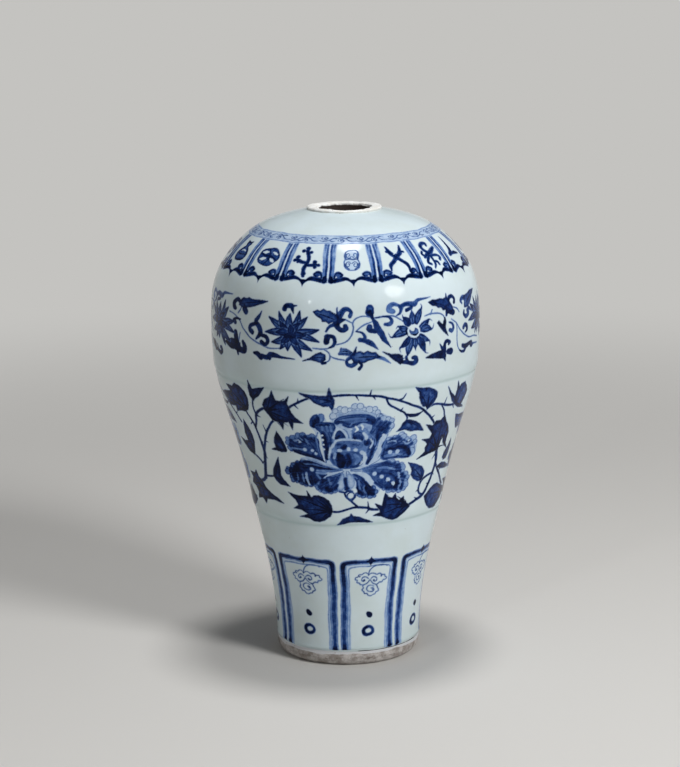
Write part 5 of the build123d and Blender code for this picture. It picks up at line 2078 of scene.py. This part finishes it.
@dataclass
class NeckStub:
    """Root of the lost neck: a low ring, ground and worn, round the mouth."""

    columns: int = 720
    bore_radius: float = 23.6
    seat_radius: float = 27.4
    root_radius: float = 32.4
    flat_radius: float = 31.0
    seat_height: float = 386.0
    root_height: float = 392.0
    worn_height: float = 391.5
    top_height: float = 395.0
    slip: float = 1.2
    lip: float = 1.2
    edge_drop: float = 1.4
    ragged_waves: tuple = ((0.5, 3, 0.9), (0.42, 7, 2.0), (0.3, 12, 0.2), (0.22, 19, 1.4), (0.14, 41, 0.6))
    worn_waves: tuple = ((0.16, 2, 1.2), (0.12, 5, 0.4), (0.08, 11, 2.6), (0.05, 29, 1.0))
    rim_waves: tuple = ((0.3, 2, 2.2), (0.26, 5, 0.6), (0.2, 9, 1.7))

    def section(self) -> tuple[Array, Array]:
        """Section of the ring: up its sloped seat, over the ground top and down the bore.

        Returns:
            Radii and heights, each as a column.
        """
        t = np.linspace(0, 1, 12, endpoint=False)
        turn = np.linspace(0, np.pi / 2, 14, endpoint=False)
        mouth, lip_height = self.bore_radius + self.lip, self.top_height - self.lip
        edge_height = self.top_height - self.edge_drop
        radii = np.r_[
            self.seat_radius - self.slip + (self.root_radius - self.seat_radius) * t,
            self.flat_radius + self.lip * np.cos(turn),
            np.linspace(self.flat_radius, mouth, 22, endpoint=False),
            mouth - self.lip * np.sin(turn), np.full(24, self.bore_radius),
        ]
        heights = np.r_[
            self.seat_height + (self.root_height - self.seat_height) * t,
            edge_height + self.edge_drop * np.sin(turn), np.full(22, self.top_height),
            lip_height + self.lip * np.cos(turn), np.linspace(lip_height, self.seat_height, 24),
        ]
        return radii[:, None], heights[:, None]

    def build(self) -> bpy.types.Object:
        """Make the ring: an uneven ground top, a ragged inner edge and a plain bore.

        Returns:
            The ring.
        """
        r, h = self.section()
        angle = turns(self.columns)[None, :]
        above = eased((h - self.worn_height) / 2.5)
        near_mouth = bell(r - self.bore_radius, 3.0)
        ragged = wave(angle, self.ragged_waves)
        scratched = 0.06 * np.sin(2 * np.pi * r / 1.3 + 2 * np.sin(angle))
        drop = above * (0.36 + wave(angle, self.worn_waves) + scratched)
        drop = drop + above * near_mouth * (0.45 + 0.5 * ragged)
        radius = r + above * near_mouth * np.maximum(0.3 + 0.7 * ragged, 0)
        height = np.maximum(h - np.maximum(drop, 0.02) * (h > self.worn_height), self.seat_height)
        # painted shade with real iron staining: the bore turns dark brown deeper into the mouth; the rim's
        # brown tint is real staining
        inside = bell(r - self.bore_radius, 1.2) * eased((394.4 - h) / 4.2)
        stain_and_shade = 1.5 * inside + 0.5 * near_mouth * above * (0.3 + wave(angle, self.rim_waves))
        layout = np.linspace(0, 1, len(r) + 1)
        return TurnedGrid(radius, height).mesh("neck_root", layout, {"stain_and_shade": stain_and_shade})

    def dress(self, ring: bpy.types.Object) -> None:
        """Give the ring its bare clay."""
        stand_in(ring, NECK_CLAY.material(), "bare_porcelain", "neck_stub")


@dataclass
class HiddenBody:
    """Sections and slip that only the mouth shows, kept as the solids that they come as."""

    sections: Sequence[str] = ("base_slab", "belly_wall", "shoulder_wall")
    lutings: Sequence[str] = ("base_luting", "lower_luting", "upper_luting", "neck_luting")

    def dress(self) -> None:
        """Give each section its clay, darkened with painted shade, and each luting its slip."""
        for clay, nodes in ((INNER_CLAY_WITH_PAINTED_SHADE, self.sections), (SLIP, self.lutings)):
            finish = clay.material()
            for node in nodes:
                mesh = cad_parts[node].data
                mesh.materials.clear()
                mesh.materials.append(finish)
                log.info("%s: keeps its solid, finished as %s", node, clay.name)


@dataclass
class Studio:
    """Pale floor, soft lamps, and the camera at the photo's angle."""

    camera_place: tuple[float, float, float] = (0.0, -2.0256, 0.6685)
    pitch: float = 11.99
    yaw: float = 0.148
    roll: float = 0.575
    focal: float = 2369.0
    frame_height: float = 767.0
    floor_radius: float = 3.5
    floor_columns: int = 96
    curve_radius: float = 1.5
    # name, place, size and power
    lamps: tuple = (
        ("key", (1.55, -1.5, 1.5), 0.7, 42.0),
        ("fill", (-1.25, -2.1, 1.1), 0.16, 5.0),
        ("top", (0.12, 0.04, 2.5), 0.5, 26.0),
    )
    aim: tuple[float, float, float] = (0.0, 0.0, 0.22)
    sky_light: tuple[float, float, float, float] = (0.95, 0.97, 1.0, 1.0)
    sky_strength: float = 0.12

    def build(self) -> None:
        """Set up the whole studio."""
        self.floor()
        self.light()
        self.camera()

    def floor(self) -> None:
        """Lay a round floor whose edge curves up into a wall."""
        columns = self.floor_columns
        turn = np.linspace(0, np.pi / 2, 14)
        radii = np.r_[0.01, self.floor_radius + self.curve_radius * np.sin(turn)][:, None]
        heights = np.r_[0.0, self.curve_radius * (1 - np.cos(turn))][:, None]
        angle = np.linspace(0, 2 * np.pi, columns, endpoint=False)[None, :]
        places = np.stack([radii * np.cos(angle), radii * np.sin(angle), heights + 0 * angle], 2)
        row, column = np.meshgrid(np.arange(len(radii) - 1), np.arange(columns), indexing="ij")
        first, beside = row * columns + column, row * columns + (column + 1) % columns
        faces = np.stack([first, first + columns, beside + columns, beside], 2).reshape(-1, 4).tolist()
        mesh = bpy.data.meshes.new("floor")
        mesh.from_pydata(places.reshape(-1, 3).tolist(), [], [list(range(columns)), *faces])
        mesh.polygons.foreach_set("use_smooth", np.ones(len(mesh.polygons), bool))
        floor = bpy.data.objects.new("floor", mesh)
        bpy.context.scene.collection.objects.link(floor)
        mesh.materials.append(PaleFloor().material())

    def light(self) -> None:
        """Hang the soft lamps and set an even sky."""
        for name, place, size, power in self.lamps:
            lamp = bpy.data.lights.new(name, "AREA")
            lamp.shape = "DISK"
            lamp.size = size
            lamp.energy = power
            holder = bpy.data.objects.new(name, lamp)
            holder.location = place
            holder.rotation_euler = (Vector(self.aim) - Vector(place)).to_track_quat("-Z", "Y").to_euler()
            bpy.context.scene.collection.objects.link(holder)
        world = bpy.data.worlds.new("sky")
        world.use_nodes = True
        sky = world.node_tree.nodes["Background"]
        sky.inputs["Color"].default_value = self.sky_light
        sky.inputs["Strength"].default_value = self.sky_strength
        bpy.context.scene.world = world
        bpy.context.scene.view_settings.view_transform = "Standard"

    def camera(self) -> None:
        """Place the camera."""
        lens = bpy.data.cameras.new("camera")
        lens.sensor_fit = "VERTICAL"
        lens.lens = self.focal / self.frame_height * lens.sensor_height
        camera = bpy.data.objects.new("camera", lens)
        camera.location = self.camera_place
        turn = Euler((np.radians(90 - self.pitch), 0, np.radians(self.yaw)), "XYZ").to_matrix()
        lean = Euler((0, 0, np.radians(-self.roll)), "XYZ").to_matrix()
        camera.rotation_euler = (turn @ lean).to_euler()
        bpy.context.scene.collection.objects.link(camera)
        bpy.context.scene.camera = camera


def main() -> None:
    """Build the vase and the studio."""
    logging.basicConfig(level=logging.INFO, format="%(name)s %(message)s")
    outline = TurnedOutline.of_coat(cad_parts["glaze_coat"])
    for part in (GlazeCoat(outline), BareFoot(outline), NeckStub()):
        part.dress(part.build())
    HiddenBody().dress()
    Studio().build()


if __name__ == "__main__":
    main()
